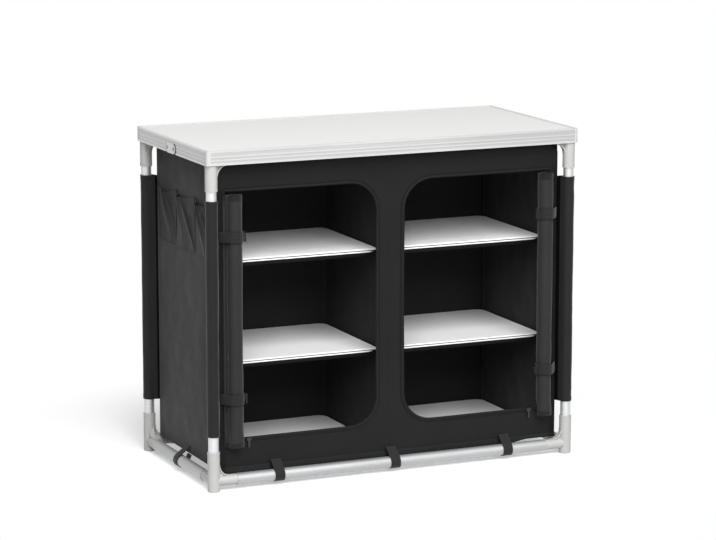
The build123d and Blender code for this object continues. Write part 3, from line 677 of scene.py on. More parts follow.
def add_sheet(bm, columns, rows, flat, place, turned=False):
    """A grid placed by a function of two coordinates from 0 to 1.

    Its UV map is in metres of the flat cloth, with the two directions swapped where it is turned.
    """
    across, along = len(columns) - 1, len(rows) - 1
    made = bmesh.ops.create_grid(
        bm, x_segments=across, y_segments=along, size=0.5, matrix=Matrix.Translation((0.5, 0.5, 0))
    )["verts"]
    for vert in made:
        vert.co.x = columns[round(vert.co.x * across)]
        vert.co.y = rows[round(vert.co.y * along)]
    faces = {face for vert in made for face in vert.link_faces}
    if turned:
        map_uv(bm, faces, lambda co: (co.y * flat[1], co.x * flat[0]))
    else:
        map_uv(bm, faces, lambda co: (co.x * flat[0], co.y * flat[1]))
    for vert in made:
        vert.co = place(vert.co.x, vert.co.y)
    return made


def evenly(points, count):
    """The same line in equal steps, and its length."""
    lengths = [0.0]
    for first, second in zip(points, points[1:]):
        lengths.append(lengths[-1] + (second - first).length)
    made, place = [], 0
    for step in range(count + 1):
        goal = lengths[-1] * step / count
        while place < len(points) - 2 and lengths[place + 1] < goal:
            place += 1
        part = (goal - lengths[place]) / max(1e-9, lengths[place + 1] - lengths[place])
        made.append(points[place].lerp(points[place + 1], part))
    return made, lengths[-1]


def wrap_path(centre, radius, start, end, count):
    """A strap's line: straight to a round bar, anticlockwise round it and straight on to its end."""
    centre, start, end = Vector(centre), Vector(start), Vector(end)
    angles, leans = [], []
    for point in (start, end):
        reach = point - centre
        angles.append(math.atan2(reach.y, reach.x))
        leans.append(math.acos(min(1.0, radius / reach.length)))
    first, last = angles[0] + leans[0], angles[1] - leans[1]
    while last <= first:
        last += 2 * math.pi
    line = [start]
    for step in range(61):
        angle = first + (last - first) * step / 60
        line.append(centre + radius * Vector((math.cos(angle), math.sin(angle))))
    line.append(end)
    return evenly(line, count)


def beside_rail(along):
    """For a rail along x (0) or y (1): the cupboard's face beside it, and how far out the rail lies."""
    face = BAG_BACK if along == 0 else BAG_X
    return face, (LEG_Y if along == 0 else LEG_X) - face


def on_rail(along, run, out, z):
    """A point given by its run along a rail that lies along x (0) or y (1), and its place across it."""
    return Vector((run, out, z)) if along == 0 else Vector((out, run, z))


def front_place(x, z):
    """The y of the cupboard's front at a point: drawn in along the middle post, a little slack elsewhere."""
    height = (z - BAG_LOW) / (BAG_HIGH - BAG_LOW)
    drawn = sizes().post_sag * fold(x, 0.0, 0.075) * arch(height) ** 0.7
    inside = ease((BAG_X - abs(x)) / 0.05) * ease((z - BAG_LOW) / 0.03) * ease((BAG_HIGH - z) / 0.03)
    slack = 0.0016 * ripple(x, z, 1, 0.11) + 0.0008 * ripple(x, z, 2, 0.045)
    quiet = 1 - 0.8 * ease((0.17 - z) / 0.04) * ease((abs(x) - 0.06) / 0.04)
    return BAG_FRONT + IN_PANEL + drawn + (slack + 0.001) * inside * quiet


def seam_relief(x, z):
    """How far the front stands in at its two seams: up the middle post and along the cupboard's foot."""
    post = 0.0008 * fold(x, SEAM_X - 0.0004, 0.0012) - 0.0008 * fold(x, SEAM_X + 0.0018, 0.0016)
    return post + 0.0009 * fold(z, FOOT_SEAM, 0.0010)


def below_seam(z):
    """From 0 at the foot seam to 1 at the front's lower edge."""
    return max(0.0, FOOT_SEAM - z) / (FOOT_SEAM - FRONT_FOOT)


def foot_flare(x, z):
    """How far the strip under the foot seam stands out: it leans on nothing and curls towards the rail."""
    curl_x, corner_x = -0.36, 0.405
    most = 0.0028 + 0.0018 * fold(x, curl_x, 0.06) + 0.0009 * ripple(x, 0, 23, 0.10)
    if abs(x) > corner_x:
        most = min(most, 0.0030)
    return min(most, 0.0046) * below_seam(z) ** 1.3


def opening_arcs():
    """The radius of a door opening's round corners, and the x, lower z and upper z of their centres."""
    radius = sizes().opening_radius
    return radius, POST_X + radius, OPENING_LOW + radius, OPENING_HIGH - radius


def window_outline(side):
    """A door opening as one face in the plane y = 0, with round inner corners and short edges."""
    bm = bmesh.new()
    x_limits = sorted((side * POST_X, side * STILE_X))
    add_grid(bm, 1, 0.0, x_limits, (OPENING_LOW, OPENING_HIGH), 10.0)
    corners = [v for v in bm.verts if abs(abs(v.co.x) - POST_X) < TINY]
    bmesh.ops.bevel(
        bm, geom=corners, offset=sizes().opening_radius, offset_type="OFFSET", segments=16,
        profile=0.5, affect="VERTICES", clamp_overlap=False, material=-1,
    )
    longest = 0.012
    while long_edges := [e for e in bm.edges if e.calc_length() > longest]:
        bmesh.ops.subdivide_edges(bm, edges=long_edges, cuts=1)
    return bm


def grow_window(side, grows, move):
    """A strip of cloth round a door opening: the edges that grow, moved outward, in ten rows of faces."""
    bm = window_outline(side)
    window = bm.faces[:]
    rim = [e for e in bm.edges if grows(e)]
    grown = bmesh.ops.extrude_edge_only(bm, edges=rim)["geom"]
    new_verts = [g for g in grown if isinstance(g, bmesh.types.BMVert)]
    for vert in new_verts:
        move(vert)
    old = set(rim) | {e for v in new_verts for e in v.link_edges if all(w in new_verts for w in e.verts)}
    bmesh.ops.delete(bm, geom=window, context="FACES_ONLY")
    bmesh.ops.delete(bm, geom=[e for e in bm.edges if not e.link_faces], context="EDGES")
    spokes = [e for e in bm.edges if e not in old]
    bmesh.ops.subdivide_edges(bm, edges=spokes, cuts=9, use_grid_fill=True)
    return bm


def merge_into(whole, bm):
    """Adds one bmesh to another and frees it."""
    part = bpy.data.meshes.new("part")
    bm.to_mesh(part)
    bm.free()
    whole.from_mesh(part)
    bpy.data.meshes.remove(part)


def cut_through(bm, place, normal, clear=False):
    """Cuts a mesh along a plane, and clears what lies outside where that is asked."""
    bmesh.ops.bisect_plane(
        bm, geom=bm.verts[:] + bm.edges[:] + bm.faces[:], dist=TINY, plane_co=place, plane_no=normal,
        clear_outer=clear,
    )


# The frame's own parts


def dress(names, material):
    """Gives carried-over parts their finish."""
    for name in names:
        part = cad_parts[name]
        part.data.materials.clear()
        part.data.materials.append(finish(material))


def parts_named(*starts):
    """The nodes whose names begin with one of the given words."""
    return [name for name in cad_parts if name.startswith(starts)]


def finish_frame():
    """The connectors and the tubes, whose drawn lines run lengthwise; the lying tubes take darker copies of
    the tube colour as painted shade.
    """
    dress(parts_named("lower_connector", "upper_connector"), "grey_plastic")
    dress([n for n in parts_named("leg_") if n != "leg_sleeves"], "tube_upright")
    dress(["lower_rail_front", "lower_rail_rear", "upper_rail_front", "upper_rail_rear"], "tube_along_x")
    dress(["lower_rail_left", "lower_rail_right", "upper_rail_left", "upper_rail_right"], "tube_along_y")


def finish_worktop():
    """The worktop's boards, edges, corner caps and hinge."""
    dress(parts_named("worktop_board"), "pale_laminate")
    dress(parts_named("worktop_edge", "worktop_cross_bar"), "edge_along_x")
    dress(parts_named("worktop_end_edges"), "edge_along_y")
    dress(parts_named("worktop_corner_caps"), "cap_plastic")
    dress(["hinge_links"], "plate_steel")
    dress(["hinge_rivets"], "pin_steel")


def finish_boards():
    """The shelf boards, and the sliders of the zips in front of them."""
    dress(parts_named("shelf_board"), "white_laminate")
    dress(parts_named("zip_slider"), "zip_lacquer")


# The cupboard's cloth


def make_front():
    """The front in one mesh: each half grows from its door opening to the middle seam and the edges."""
    radius, arc_x, low_z, high_z = opening_arcs()
    whole = bmesh.new()
    for side, _ in SIDES:

        def move(vert):
            """From the opening's rim out to the middle seam, the foot, the top or the side."""
            x, z = vert.co.x * side, vert.co.z
            inner_x = SEAM_X * side
            if x < arc_x - TINY and (z < low_z - TINY or z > high_z + TINY):
                arc_z, goal_z = (low_z, FRONT_FOOT) if z < low_z else (high_z, BAG_HIGH)
                across, up = (arc_x - x) / radius, abs(z - arc_z) / radius
                most = max(across, up)
                x = arc_x + (inner_x - arc_x) * across / most
                z = arc_z + (goal_z - arc_z) * up / most
            elif x < arc_x - TINY:
                x = inner_x
            elif abs(x - STILE_X) < TINY:
                x = BAG_X
                if z < OPENING_LOW + TINY:
                    z = FRONT_FOOT
                elif z > OPENING_HIGH - TINY:
                    z = BAG_HIGH
            else:
                z = FRONT_FOOT if z < low_z else BAG_HIGH
            vert.co.x, vert.co.z = x * side, z

        merge_into(whole, grow_window(side, lambda edge: True, move))
    bmesh.ops.remove_doubles(whole, verts=whole.verts, dist=0.0002)
    map_uv(whole, whole.faces, lambda co: (co.x, co.z))
    clip = 0.020
    for side, _ in SIDES:
        cut_through(whole, (side * (BAG_X - clip), 0, BAG_HIGH), (side, 0, 1), clear=True)
    for step in (-0.008, -0.0015, 0.0, 0.0015):
        cut_through(whole, (0, 0, FOOT_SEAM + step), (0, 0, 1))
    for step in (-0.0022, -0.0006, 0.0018, 0.0042):
        cut_through(whole, (SEAM_X + step, 0, 0), (1, 0, 0))
    for vert in whole.verts:
        x, z = vert.co.x, vert.co.z
        vert.co.y = front_place(x, z) + seam_relief(x, z) - foot_flare(x, z)
        drawn_up = 0.0065 * ease((x - 0.32) / 0.05)
        vert.co.z += drawn_up * below_seam(z)
    front = sew(whole, "cupboard_front", "front_cloth", sizes().cloth)
    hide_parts("front_top_band", "front_bottom_band", "front_middle_post", "front_stiles")


def wall_slack(a, b, first, second, bulge, seed):
    """How far a wall of the cupboard stands off its plane."""
    inside = 1.0
    for value, limits in ((a, first), (b, second)):
        inside *= ease((value - limits[0]) / 0.06) * ease((limits[1] - value) / 0.06)
    slack = bulge * inside * (0.45 + 0.55 * ripple(a + 0.4 * b, b, seed, 0.13))
    return slack + 0.0013 * inside * ripple(a, b, seed + 5, 0.05)


def make_wall(name, node, normal, place, first, second, bulge, seed, material="black_cloth"):
    """A wall of the cupboard: a grid with gentle slack."""
    bm = bmesh.new()
    add_grid(bm, normal, place, first, second, cell=0.012)
    a, b = other_axes(normal)
    map_uv(bm, bm.faces, lambda co: (co[a], co[b]))
    for vert in bm.verts:
        vert.co[normal] += wall_slack(vert.co[a], vert.co[b], first, second, bulge, seed)
    wall = make_piece(bm, name, "frame", material)
    thicken(wall, sizes().cloth)
    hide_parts(node)


def make_cupboard():
    """The front, the two sides, the back, the floor and the partition."""
    make_front()
    make_wall(
        "cupboard_side_left", "side_panel_left", 0, -BAG_X + IN_PANEL, SIDE_Y, UPRIGHT,
        bulge=SIDE_SLACK, seed=SIDE_SEED, material="pocketed_cloth",
    )
    make_wall(
        "cupboard_side_right", "side_panel_right", 0, BAG_X - IN_PANEL, SIDE_Y, UPRIGHT,
        bulge=-SIDE_SLACK, seed=12,
    )
    make_wall(
        "cupboard_back", "back_panel", 1, BAG_BACK - IN_PANEL, (-BAG_X, BAG_X), UPRIGHT,
        bulge=-0.002, seed=13, material="lining_cloth",
    )
    make_wall(
        "cupboard_floor_cloth", "cupboard_floor", 2, BAG_LOW + IN_PANEL,
        (-BAG_X + EDGE_INSET, BAG_X - EDGE_INSET), SIDE_Y, bulge=-0.0004, seed=14,
    )
    make_wall(
        "cupboard_partition", "middle_partition", 0, 0.0, (BAG_FRONT + 0.012, BAG_BACK - 0.009),
        (BAG_LOW + 0.003, BAG_HIGH), bulge=0.002, seed=15, material="lining_cloth",
    )


def make_tapes():
    """Zip tape round each door opening: a flat tape with its coil standing proud."""
    whole = bmesh.new()
    radius, arc_x, low_z, high_z = opening_arcs()
    quarter = math.pi / 2 * radius
    run = STILE_X - arc_x
    proud = 0.0011

    def measure(x, z):
        """Across the tape from the opening's edge, and along it from the outer end of the bottom run."""
        if x < arc_x and (z < low_z or z > high_z):
            spot = Vector((arc_x - x, abs(z - (low_z if z < low_z else high_z))))
            turned = math.atan2(spot.x, spot.y) / (math.pi / 2) * quarter
            along = run + turned if z < low_z else run + 2 * quarter - turned + high_z - low_z
            return spot.length - radius, along
        if x < arc_x:
            return POST_X - x, run + quarter + z - low_z
        if z < low_z:
            return OPENING_LOW - z, STILE_X - x
        return z - OPENING_HIGH, run + 2 * quarter + high_z - low_z + x - arc_x

    for side, _ in SIDES:

        def move(vert):
            """From the opening's rim out by the tape's width, square to the rim."""
            x, z = abs(vert.co.x), vert.co.z
            if x < arc_x - TINY and (z < low_z - TINY or z > high_z + TINY):
                away = Vector((x - arc_x, 0, z - (low_z if z < low_z else high_z))).normalized()
            elif x < arc_x - TINY:
                away = Vector((-1, 0, 0))
            else:
                away = Vector((0, 0, -1 if z < low_z else 1))
            vert.co += ZIP_W * Vector((away.x * side, 0, away.z))

        def off_stile(edge):
            """Whether an edge of the opening's rim has a tape: all but those along the stile."""
            return not all(abs(abs(v.co.x) - STILE_X) < TINY for v in edge.verts)

        bm = grow_window(side, off_stile, move)
        map_uv(bm, bm.faces, lambda co: measure(abs(co.x), co.z))
        for vert in bm.verts:
            across = measure(abs(vert.co.x), vert.co.z)[0]
            coil = 0.0011 * fold(across, COIL_AT, 0.0014)
            edge = 0.0006 * fold(across, 0.0092, 0.0011) + 0.0004 * fold(across, 0.0, 0.0012)
            vert.co.y = front_place(vert.co.x, vert.co.z) - proud - coil - edge
        merge_into(whole, bm)
    tapes = sew(whole, "door_zip_tapes", "knit_tape", THICKNESS["tape"])
    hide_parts("zip_tapes")


def make_shelf_cloths():
    """The sewn cloth floors under the middle and upper boards, with a hem that hangs at the front."""
    back = BAG_BACK - 0.003
    inner, outer = 0.0025, BAG_X - 0.003
    hem, setback, below = 0.009, 0.0045, 0.0012
    for level in ("middle", "upper"):
        for side, name in SIDES:
            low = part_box(f"shelf_board_{name}_{level}")[0]
            front = low.y + setback
            top = low.z - below
            length = back - front + hem

            def place(u, v):
                x = inner + (outer - inner) * u
                run = v * length - hem
                drop = 0.0016 * arch(u) * ease((0.05 - run) / 0.05)
                wave = 0.0005 * ripple(x * side, 0, 31 + low.z, 0.05)
                if run < 0:
                    return Vector((side * x, front - 0.0012 + wave, top - drop * 0.3 + run * 0.9))
                return Vector((side * x, front + run, top - 0.0006 * ease(run / 0.01)))

            rows = [0.0, 0.45 * hem / length, 0.9 * hem / length, hem / length]
            rows += [rows[-1] + (1 - rows[-1]) * step / 14 for step in range(1, 15)]
            bm = bmesh.new()
            add_sheet(bm, even_steps(36), rows, (outer - inner, length), place)
            cloth = sew(bm, f"shelf_cloth_{name}_{level}", "shelf_cloth", THICKNESS["shelf"])
            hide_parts("shelf_cloths")


def make_leg_sleeves():
    """Cloth tunnels round the legs: each meets itself in a flat web at the cupboard's corner."""
    low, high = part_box("leg_sleeves")
    length = high.z - low.z
    hem, radius, steps = 0.011, 0.0141, 56
    to_seam, web_from, half_gap = 0.0025, 0.0165, 0.0009
    corner = Vector((BAG_X - LEG_X - to_seam, BAG_BACK - LEG_Y - to_seam))
    aside = Vector((-corner.y, corner.x)).normalized() * half_gap
    line, girth = wrap_path((0, 0), radius, corner - aside, corner + aside, steps)
    # Each pair has its own distance from the leg's axis beyond which the web takes a darker cloth as painted
    # shade
    for sy, end, shade_from in ((-1, "front", 0.0190), (1, "rear", 0.0235)):
        for sx, half in SIDES:
            name = f"{end}_{half}"
            seed = 40 + sx + 2 * sy

            def place(u, v):
                spot = line[round(u * steps)].copy()
                round_part = ease((web_from - spot.length) / 0.002)
                z = low.z + v * length
                near_end = math.exp(-min(v, 1 - v) * length / 0.05)
                turned = math.atan2(spot.y, spot.x) * 0.014
                crease = 0.00045 * ripple(turned, z, seed, 0.03) + 0.0005 * ripple(turned, z, seed + 9, 0.09)
                crease += 0.0006 * near_end * ripple(turned, z * 2.5, seed + 3, 0.022)
                grow = 1 + (crease + hem_lift(v, length, hem, 0.0005)) * round_part / radius
                sway = 0.0010 * (1 - round_part) * ripple(z, 0, seed + 5, 0.07)
                return Vector((sx * (LEG_X + spot.x * grow + sway), sy * (LEG_Y + spot.y * grow - sway), z))

            bm = bmesh.new()
            add_sheet(bm, even_steps(steps), hemmed_steps(length, hem, 0.010), (girth, length), place)
            for face in bm.faces:
                middle = face.calc_center_median()
                if math.hypot(abs(middle.x) - LEG_X, abs(middle.y) - LEG_Y) > shade_from:
                    face.material_index = 1
            sleeve = sew(bm, f"leg_sleeve_{name}", "sleeve_cloth", THICKNESS["sleeve"])
            sleeve.data.materials.append(finish("web_cloth"))
            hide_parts("leg_sleeves")


def make_hem_sleeves():
    """The top hems: cloth sleeves round the upper rails."""
    radius, steps = 0.0114, 40
    to_connector = 0.061
    seam_z = BAG_HIGH - 0.0005
    for name, along, side in (("front", 0, -1), ("rear", 0, 1), ("left", 1, -1), ("right", 1, 1)):
        face, out = beside_rail(along)
        reach = (LEG_X if along == 0 else LEG_Y) - to_connector
        line, girth = wrap_path((-out, TOP_RAIL_Z), radius, (0.0006, seam_z), (0.0018, seam_z), steps)

        def place(u, v):
            spot = line[round(u * steps)]
            run = reach * (2 * v - 1)
            loose = 0.0004 * ripple(run, u * 0.09, 70 + side, 0.03)
            return on_rail(along, run, side * (face - spot.x + loose), spot.y)

        bm = bmesh.new()
        add_sheet(bm, even_steps(steps), even_steps(round(2 * reach / 0.02)), (girth, 2 * reach), place)
        hem = sew(bm, f"top_hem_{name}", "black_cloth", THICKNESS["hem"])
        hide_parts("top_hem_sleeves")


def make_rail_loops():
    """Webbing loops that tie the cupboard's foot to the lower rails."""
    width = sizes().webbing + 0.001
    steps = 54
    bm = bmesh.new()
    spots = [(0, side, x) for side in (-1, 1) for x in LOOP_X] + [(1, -1, 0.0), (1, 1, 0.0)]
    for count, (along, side, middle) in enumerate(spots):
        face, out = beside_rail(along)
        line, girth = wrap_path((-out, RAIL_Z), RAIL_R + 0.0010, (-0.0012, 0.0595), (0.0012, 0.0385), steps)

        def place(u, v):
            spot = line[round(u * steps)]
            skew = 0.004 * ripple(count, 5, 3, 0.7) * (1 - 2 * u)
            run = middle + width * (v - 0.5) * (1 - 0.06 * fold(u, 0.5, 0.2)) + skew
            cup = 0.0007 * ripple(u * 0.1, v * 0.03 + count, 80, 0.02) * ease(u * 8) * ease((1 - u) * 8)
            spread = Vector((spot.x + out, spot.y - RAIL_Z))
            away = spread.normalized() * (abs(cup) + 0.0002 + 0.0005 * fold(u, 0.06, 0.03))
            return on_rail(along, run, side * (face - spot.x - away.x), spot.y + away.y)

        add_sheet(bm, even_steps(steps), even_steps(5), (girth, width), place, turned=True)
    loops = sew(bm, "rail_webbing_loops", "black_webbing", THICKNESS["loop"])
    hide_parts("rail_loops")


def make_door_rolls():
    """Each door is one cloth wound up from its free edge, with its zip tape along both ends of the roll."""
    low, high = ROLL_BOX
    centre = Vector(((low.x + high.x) / 2, (low.y + high.y) / 2))
    length = high.z - low.z
    pitch = sizes().roll_pitch
    outer, turns, start_turn = 0.0200, 4.6, math.radians(26)
    crease_turn = math.radians(233)
    flat_below, flattened = 0.142, 0.31
    full = 2 * math.pi * turns
    wound = outer * full - pitch * full ** 2 / (4 * math.pi)
    hem, flap = 0.013, 0.0075
    stile_edge = Vector((STILE_X + 0.006, BAG_FRONT - 0.0012))
    share = flap / (flap + wound)
    columns = [share * step / 5 for step in range(5)]
    columns += [share + (1 - share) * step / 200 for step in range(201)]
    rows = hemmed_steps(length, hem, 0.010)
    for side, name in SIDES:

        def wind(u, v):
            """A point of the wound part, from the flap (0) in to the free edge (1)."""
            gone = outer ** 2 - pitch * u * wound / math.pi
            turned = 2 * math.pi / pitch * (outer - math.sqrt(max(0.0, gone)))
            radius = outer - pitch * turned / (2 * math.pi)
            angle = start_turn + turned
            z = low.z + v * length
            pinch = sum(fold(z, tie, 0.017) for tie in STRAP_HEIGHTS)
            swell = sum(fold(z, tie + step, 0.022) for tie in STRAP_HEIGHTS for step in (-0.04, 0.04))
            dent = 0.0007 * ripple(math.cos(angle) * 0.02 + 2 * side, z, 90, 0.06)
            dent += 0.0008 * ripple(math.sin(angle) * 0.02, z, 91 + side, 0.14)
            if side < 0 and turned < 2 * math.pi:
                dent += 0.0006 * fold(angle, crease_turn, 0.06)
            radius += dent - 0.0011 * pinch + 0.0003 * swell + hem_lift(v, length, hem, 0.0004)
            x = centre.x + radius * math.cos(angle)
            y = centre.y + radius * math.sin(angle) * 0.985
            foot = ease((flat_below - z) / 0.02)
            front = centre.y - outer
            y = front + (y - front) * (1 - flattened * foot)
            near_end = ease(abs(2 * v - 1) * 4 - 3)
            tele = 0.0035 * u * (1 if v > 0.5 else -0.6) * near_end
            tele += 0.0008 * math.sin(angle * 0.9 + side) * near_end
            return Vector((side * x, y, z + tele))

        def place(u, v):
            if u >= share:
                return wind((u - share) / (1 - share), v)
            start = wind(0.0, v)
            return Vector((side * stile_edge.x, stile_edge.y, start.z)).lerp(start, u / share)

        bm = bmesh.new()
        add_sheet(bm, columns, rows, (wound + flap, length), place)
        layer = bm.loops.layers.uv.active
        for face in bm.faces:
            height = sum(loop[layer].uv.y for loop in face.loops) / len(face.loops)
            face.material_index = 1 if in_hem(height / length, length, hem) else 0
        roll = sew(bm, f"rolled_door_{name}", "rolled_cloth", THICKNESS["door"])
        roll.data.materials.append(finish("dark_tape"))
        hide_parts(f"door_roll_{name}")


def make_door_straps():
    """Webbing that holds the rolled doors: sewn to the stile, over the roll's front and back behind it."""
    width = sizes().webbing
    low, high = ROLL_BOX
    centre = Vector(((low.x + high.x) / 2, -(low.y + high.y) / 2))
    start = (STILE_X + 0.0155, -BAG_FRONT + 0.0018)
    end = (STILE_X + 0.005, -BAG_FRONT - 0.0040)
    radius, steps = 0.0211, 60
    line, girth = wrap_path(centre, radius, start, end, steps)
    bm = bmesh.new()
    for side, _ in SIDES:
        for count, tie in enumerate(STRAP_HEIGHTS):

            def place(u, v):
                spot = line[round(u * steps)]
                lift = (spot - centre).normalized()
                cup = 0.0004 * ripple(u * 0.15, v * 0.02 + side, 95 + count, 0.03)
                rise = 0.0012 * ripple(u, side, 97 + count, 0.4)
                z = tie + width * (v - 0.5) + rise
                return Vector((side * (spot.x + lift.x * cup), -(spot.y + lift.y * cup), z))

            add_sheet(bm, even_steps(steps), even_steps(4), (girth, width), place, turned=True)
    straps = sew(bm, "rolled_door_straps", "black_webbing", THICKNESS["strap"])
    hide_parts("door_straps")


def make_strap_clips():
    """Ladder buckles on the straps: a rounded plate with two slots, curved to the roll."""
    low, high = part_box("strap_clips")
    bm = bmesh.new()
    columns = [0.0, 0.16, 0.42, 0.58, 0.84, 1.0]
    rows = [0.0, 0.12, 0.3, 0.5, 0.7, 0.88, 1.0]
    width = 0.0235
    deep = high.y - low.y
    for side, _ in SIDES:
        for tie in STRAP_HEIGHTS:

            def place(u, v):
                bow = 0.0016 * (1 - (2 * u - 1) ** 2)
                return Vector((side * (high.x - 0.0012 - bow), low.y + deep * u, tie + width * (v - 0.5)))

            made = add_sheet(bm, columns, rows, (deep, width), place)
            slots = []
            for face in {face for vert in made for face in vert.link_faces}:
                middle = face.calc_center_median()
                u = (middle.y - low.y) / deep
                v = (middle.z - tie) / width + 0.5
                if (columns[1] < u < columns[2] or columns[3] < u < columns[4]) and rows[1] < v < rows[5]:
                    slots.append(face)
            bmesh.ops.delete(bm, geom=slots, context="FACES")
    bmesh.ops.recalc_face_normals(bm, faces=bm.faces)
    bmesh.ops.solidify(bm, geom=bm.faces[:], thickness=THICKNESS["buckle"])
    clips = make_piece(bm, "strap_buckles", "frame", "black_plastic")
    round_off(clips, 0.0005)
    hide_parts("strap_clips")


def make_pockets():
    """Three bellows pockets on the left side: each has a ridge that runs up to its gaping, drooping mouth."""
    low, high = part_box("side_pockets")
    shallow, deepest = 0.0022, 0.0130
    front_taper, rear_taper = 0.007, 0.009
    gusset, hem = 1.1, 0.011
    height = high.z + POCKET_RISE - low.z
    for name, front, rear, ridge_low, ridge_high, knee, second, droop_most, hang in POCKETS:
        seed = 50 + front * 30

        def place(u, v):
            open_part = ease(v * 1.1) ** 0.9
            first_y = front + front_taper * (1 - v)
            last_y = rear - rear_taper * (1 - v)
            ridge_y = ridge_low + (ridge_high - ridge_low) * v ** 0.9
            depth = shallow + (deepest - shallow) * open_part
            edge = 0.0007 + 0.0005 * ease(4 * v)
            if u < knee:
                part = u / knee
                y = first_y + (ridge_y - first_y) * part
                out = edge + (depth - edge) * (0.35 * part + 0.65 * part ** 2.4)
                out += second * fold(part, 0.10 + 0.75 * v, 0.10) * arch(v * 1.1) ** 0.6
                out += 0.0014 * ripple(y, v * height, seed, 0.028) * part * (1 - part) * 4
                droop = hang + (droop_most - hang) * math.sin(math.pi / 2 * u / knee)
            else:
                part = (u - knee) / (1 - knee)
                y = ridge_y + (last_y - ridge_y) * part
                out = depth + (edge - depth) * part ** 0.75
                out = max(edge, out - 0.0030 * open_part * arch(part))
                out += 0.0008 * ripple(y, v * height, seed + 4, 0.03) * arch(part)
                droop = droop_most * math.cos(math.pi / 2 * (u - knee) / (1 - knee))
            z = low.z + height * v - droop * v ** 3
            wall = wall_slack(y, z, SIDE_Y, UPRIGHT, SIDE_SLACK, SIDE_SEED)
            x = -BAG_X + IN_PANEL + wall - out - hem_lift(1 - (1 - v) * 0.5, 2 * height, 0.012, 0.0005)
            return Vector((max(low.x + 0.0006, x), y, z))

        flat = ((rear - front) * gusset, height)
        top_hem = hem / height
        rows = [(1 - top_hem) * step / 26 for step in range(27)]
        rows += [1 - top_hem + 0.006, 1 - top_hem / 2, 1.0]
        bm = bmesh.new()
        add_sheet(bm, even_steps(60), rows, flat, place)
        bmesh.ops.recalc_face_normals(bm, faces=bm.faces)
        if sum(face.normal.x for face in bm.faces) > 0:
            bmesh.ops.reverse_faces(bm, faces=bm.faces)
        pocket = make_piece(bm, f"side_pocket_{name}", "frame", "pocket_cloth")
        # The pockets' inner faces take a much darker cloth: painted shade inside the pockets
        pocket.data.materials.append(finish("pocket_lining"))
        thicken(pocket, THICKNESS["pocket"]).material_offset = 1
        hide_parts("side_pockets")


class KITCHEN_OT_frame(bpy.types.Operator):
    """Give the tubes and connectors their finish"""

    bl_idname = "kitchen.frame"
    bl_label = "Frame"

    def execute(self, context):
        finish_frame()
        return {"FINISHED"}


class KITCHEN_OT_worktop(bpy.types.Operator):
    """Give the worktop and its hinge their finish"""

    bl_idname = "kitchen.worktop"
    bl_label = "Worktop"

    def execute(self, context):
        finish_worktop()
        return {"FINISHED"}


class KITCHEN_OT_boards(bpy.types.Operator):
    """Give the shelf boards and zip sliders their finish"""

    bl_idname = "kitchen.boards"
    bl_label = "Shelf Boards"

    def execute(self, context):
        finish_boards()
        return {"FINISHED"}


class KITCHEN_OT_cupboard(bpy.types.Operator):
    """Make the cupboard's cloth front, walls, floor and partition"""

    bl_idname = "kitchen.cupboard"
    bl_label = "Cupboard Cloth"

    def execute(self, context):
        make_cupboard()
        return {"FINISHED"}


class KITCHEN_OT_zips(bpy.types.Operator):
    """Make the zip tapes round the door openings"""

    bl_idname = "kitchen.zips"
    bl_label = "Zip Tapes"

    def execute(self, context):
        make_tapes()
        return {"FINISHED"}


class KITCHEN_OT_shelf_cloths(bpy.types.Operator):
    """Make the cloth floors that carry the boards"""

    bl_idname = "kitchen.shelf_cloths"
    bl_label = "Shelf Cloths"

    def execute(self, context):
        make_shelf_cloths()
        return {"FINISHED"}


class KITCHEN_OT_sleeves(bpy.types.Operator):
    """Make the cloth sleeves round the legs and the upper rails"""

    bl_idname = "kitchen.sleeves"
    bl_label = "Sleeves"

    def execute(self, context):
        make_leg_sleeves()
        make_hem_sleeves()
        return {"FINISHED"}


class KITCHEN_OT_doors(bpy.types.Operator):
    """Make the rolled-up doors"""

    bl_idname = "kitchen.doors"
    bl_label = "Rolled Doors"

    def execute(self, context):
        make_door_rolls()
        return {"FINISHED"}


class KITCHEN_OT_webbing(bpy.types.Operator):
    """Make the webbing: the straps with their buckles and the loops round the lower rails"""

    bl_idname = "kitchen.webbing"
    bl_label = "Webbing"

    def execute(self, context):
        make_door_straps()
        make_strap_clips()
        make_rail_loops()
        return {"FINISHED"}


class KITCHEN_OT_pockets(bpy.types.Operator):
    """Make the bellows pockets on the left side"""

    bl_idname = "kitchen.pockets"
    bl_label = "Side Pockets"

    def execute(self, context):
        make_pockets()
        return {"FINISHED"}


# Studio


def seen_directly(tree):
    """1 for rays from the camera, a reflection or a glass, where the background shows as plain white."""
    path = tree.nodes.new("ShaderNodeLightPath")
    return highest(tree, [path.outputs[f"Is {kind} Ray"] for kind in ("Camera", "Glossy", "Transmission")])


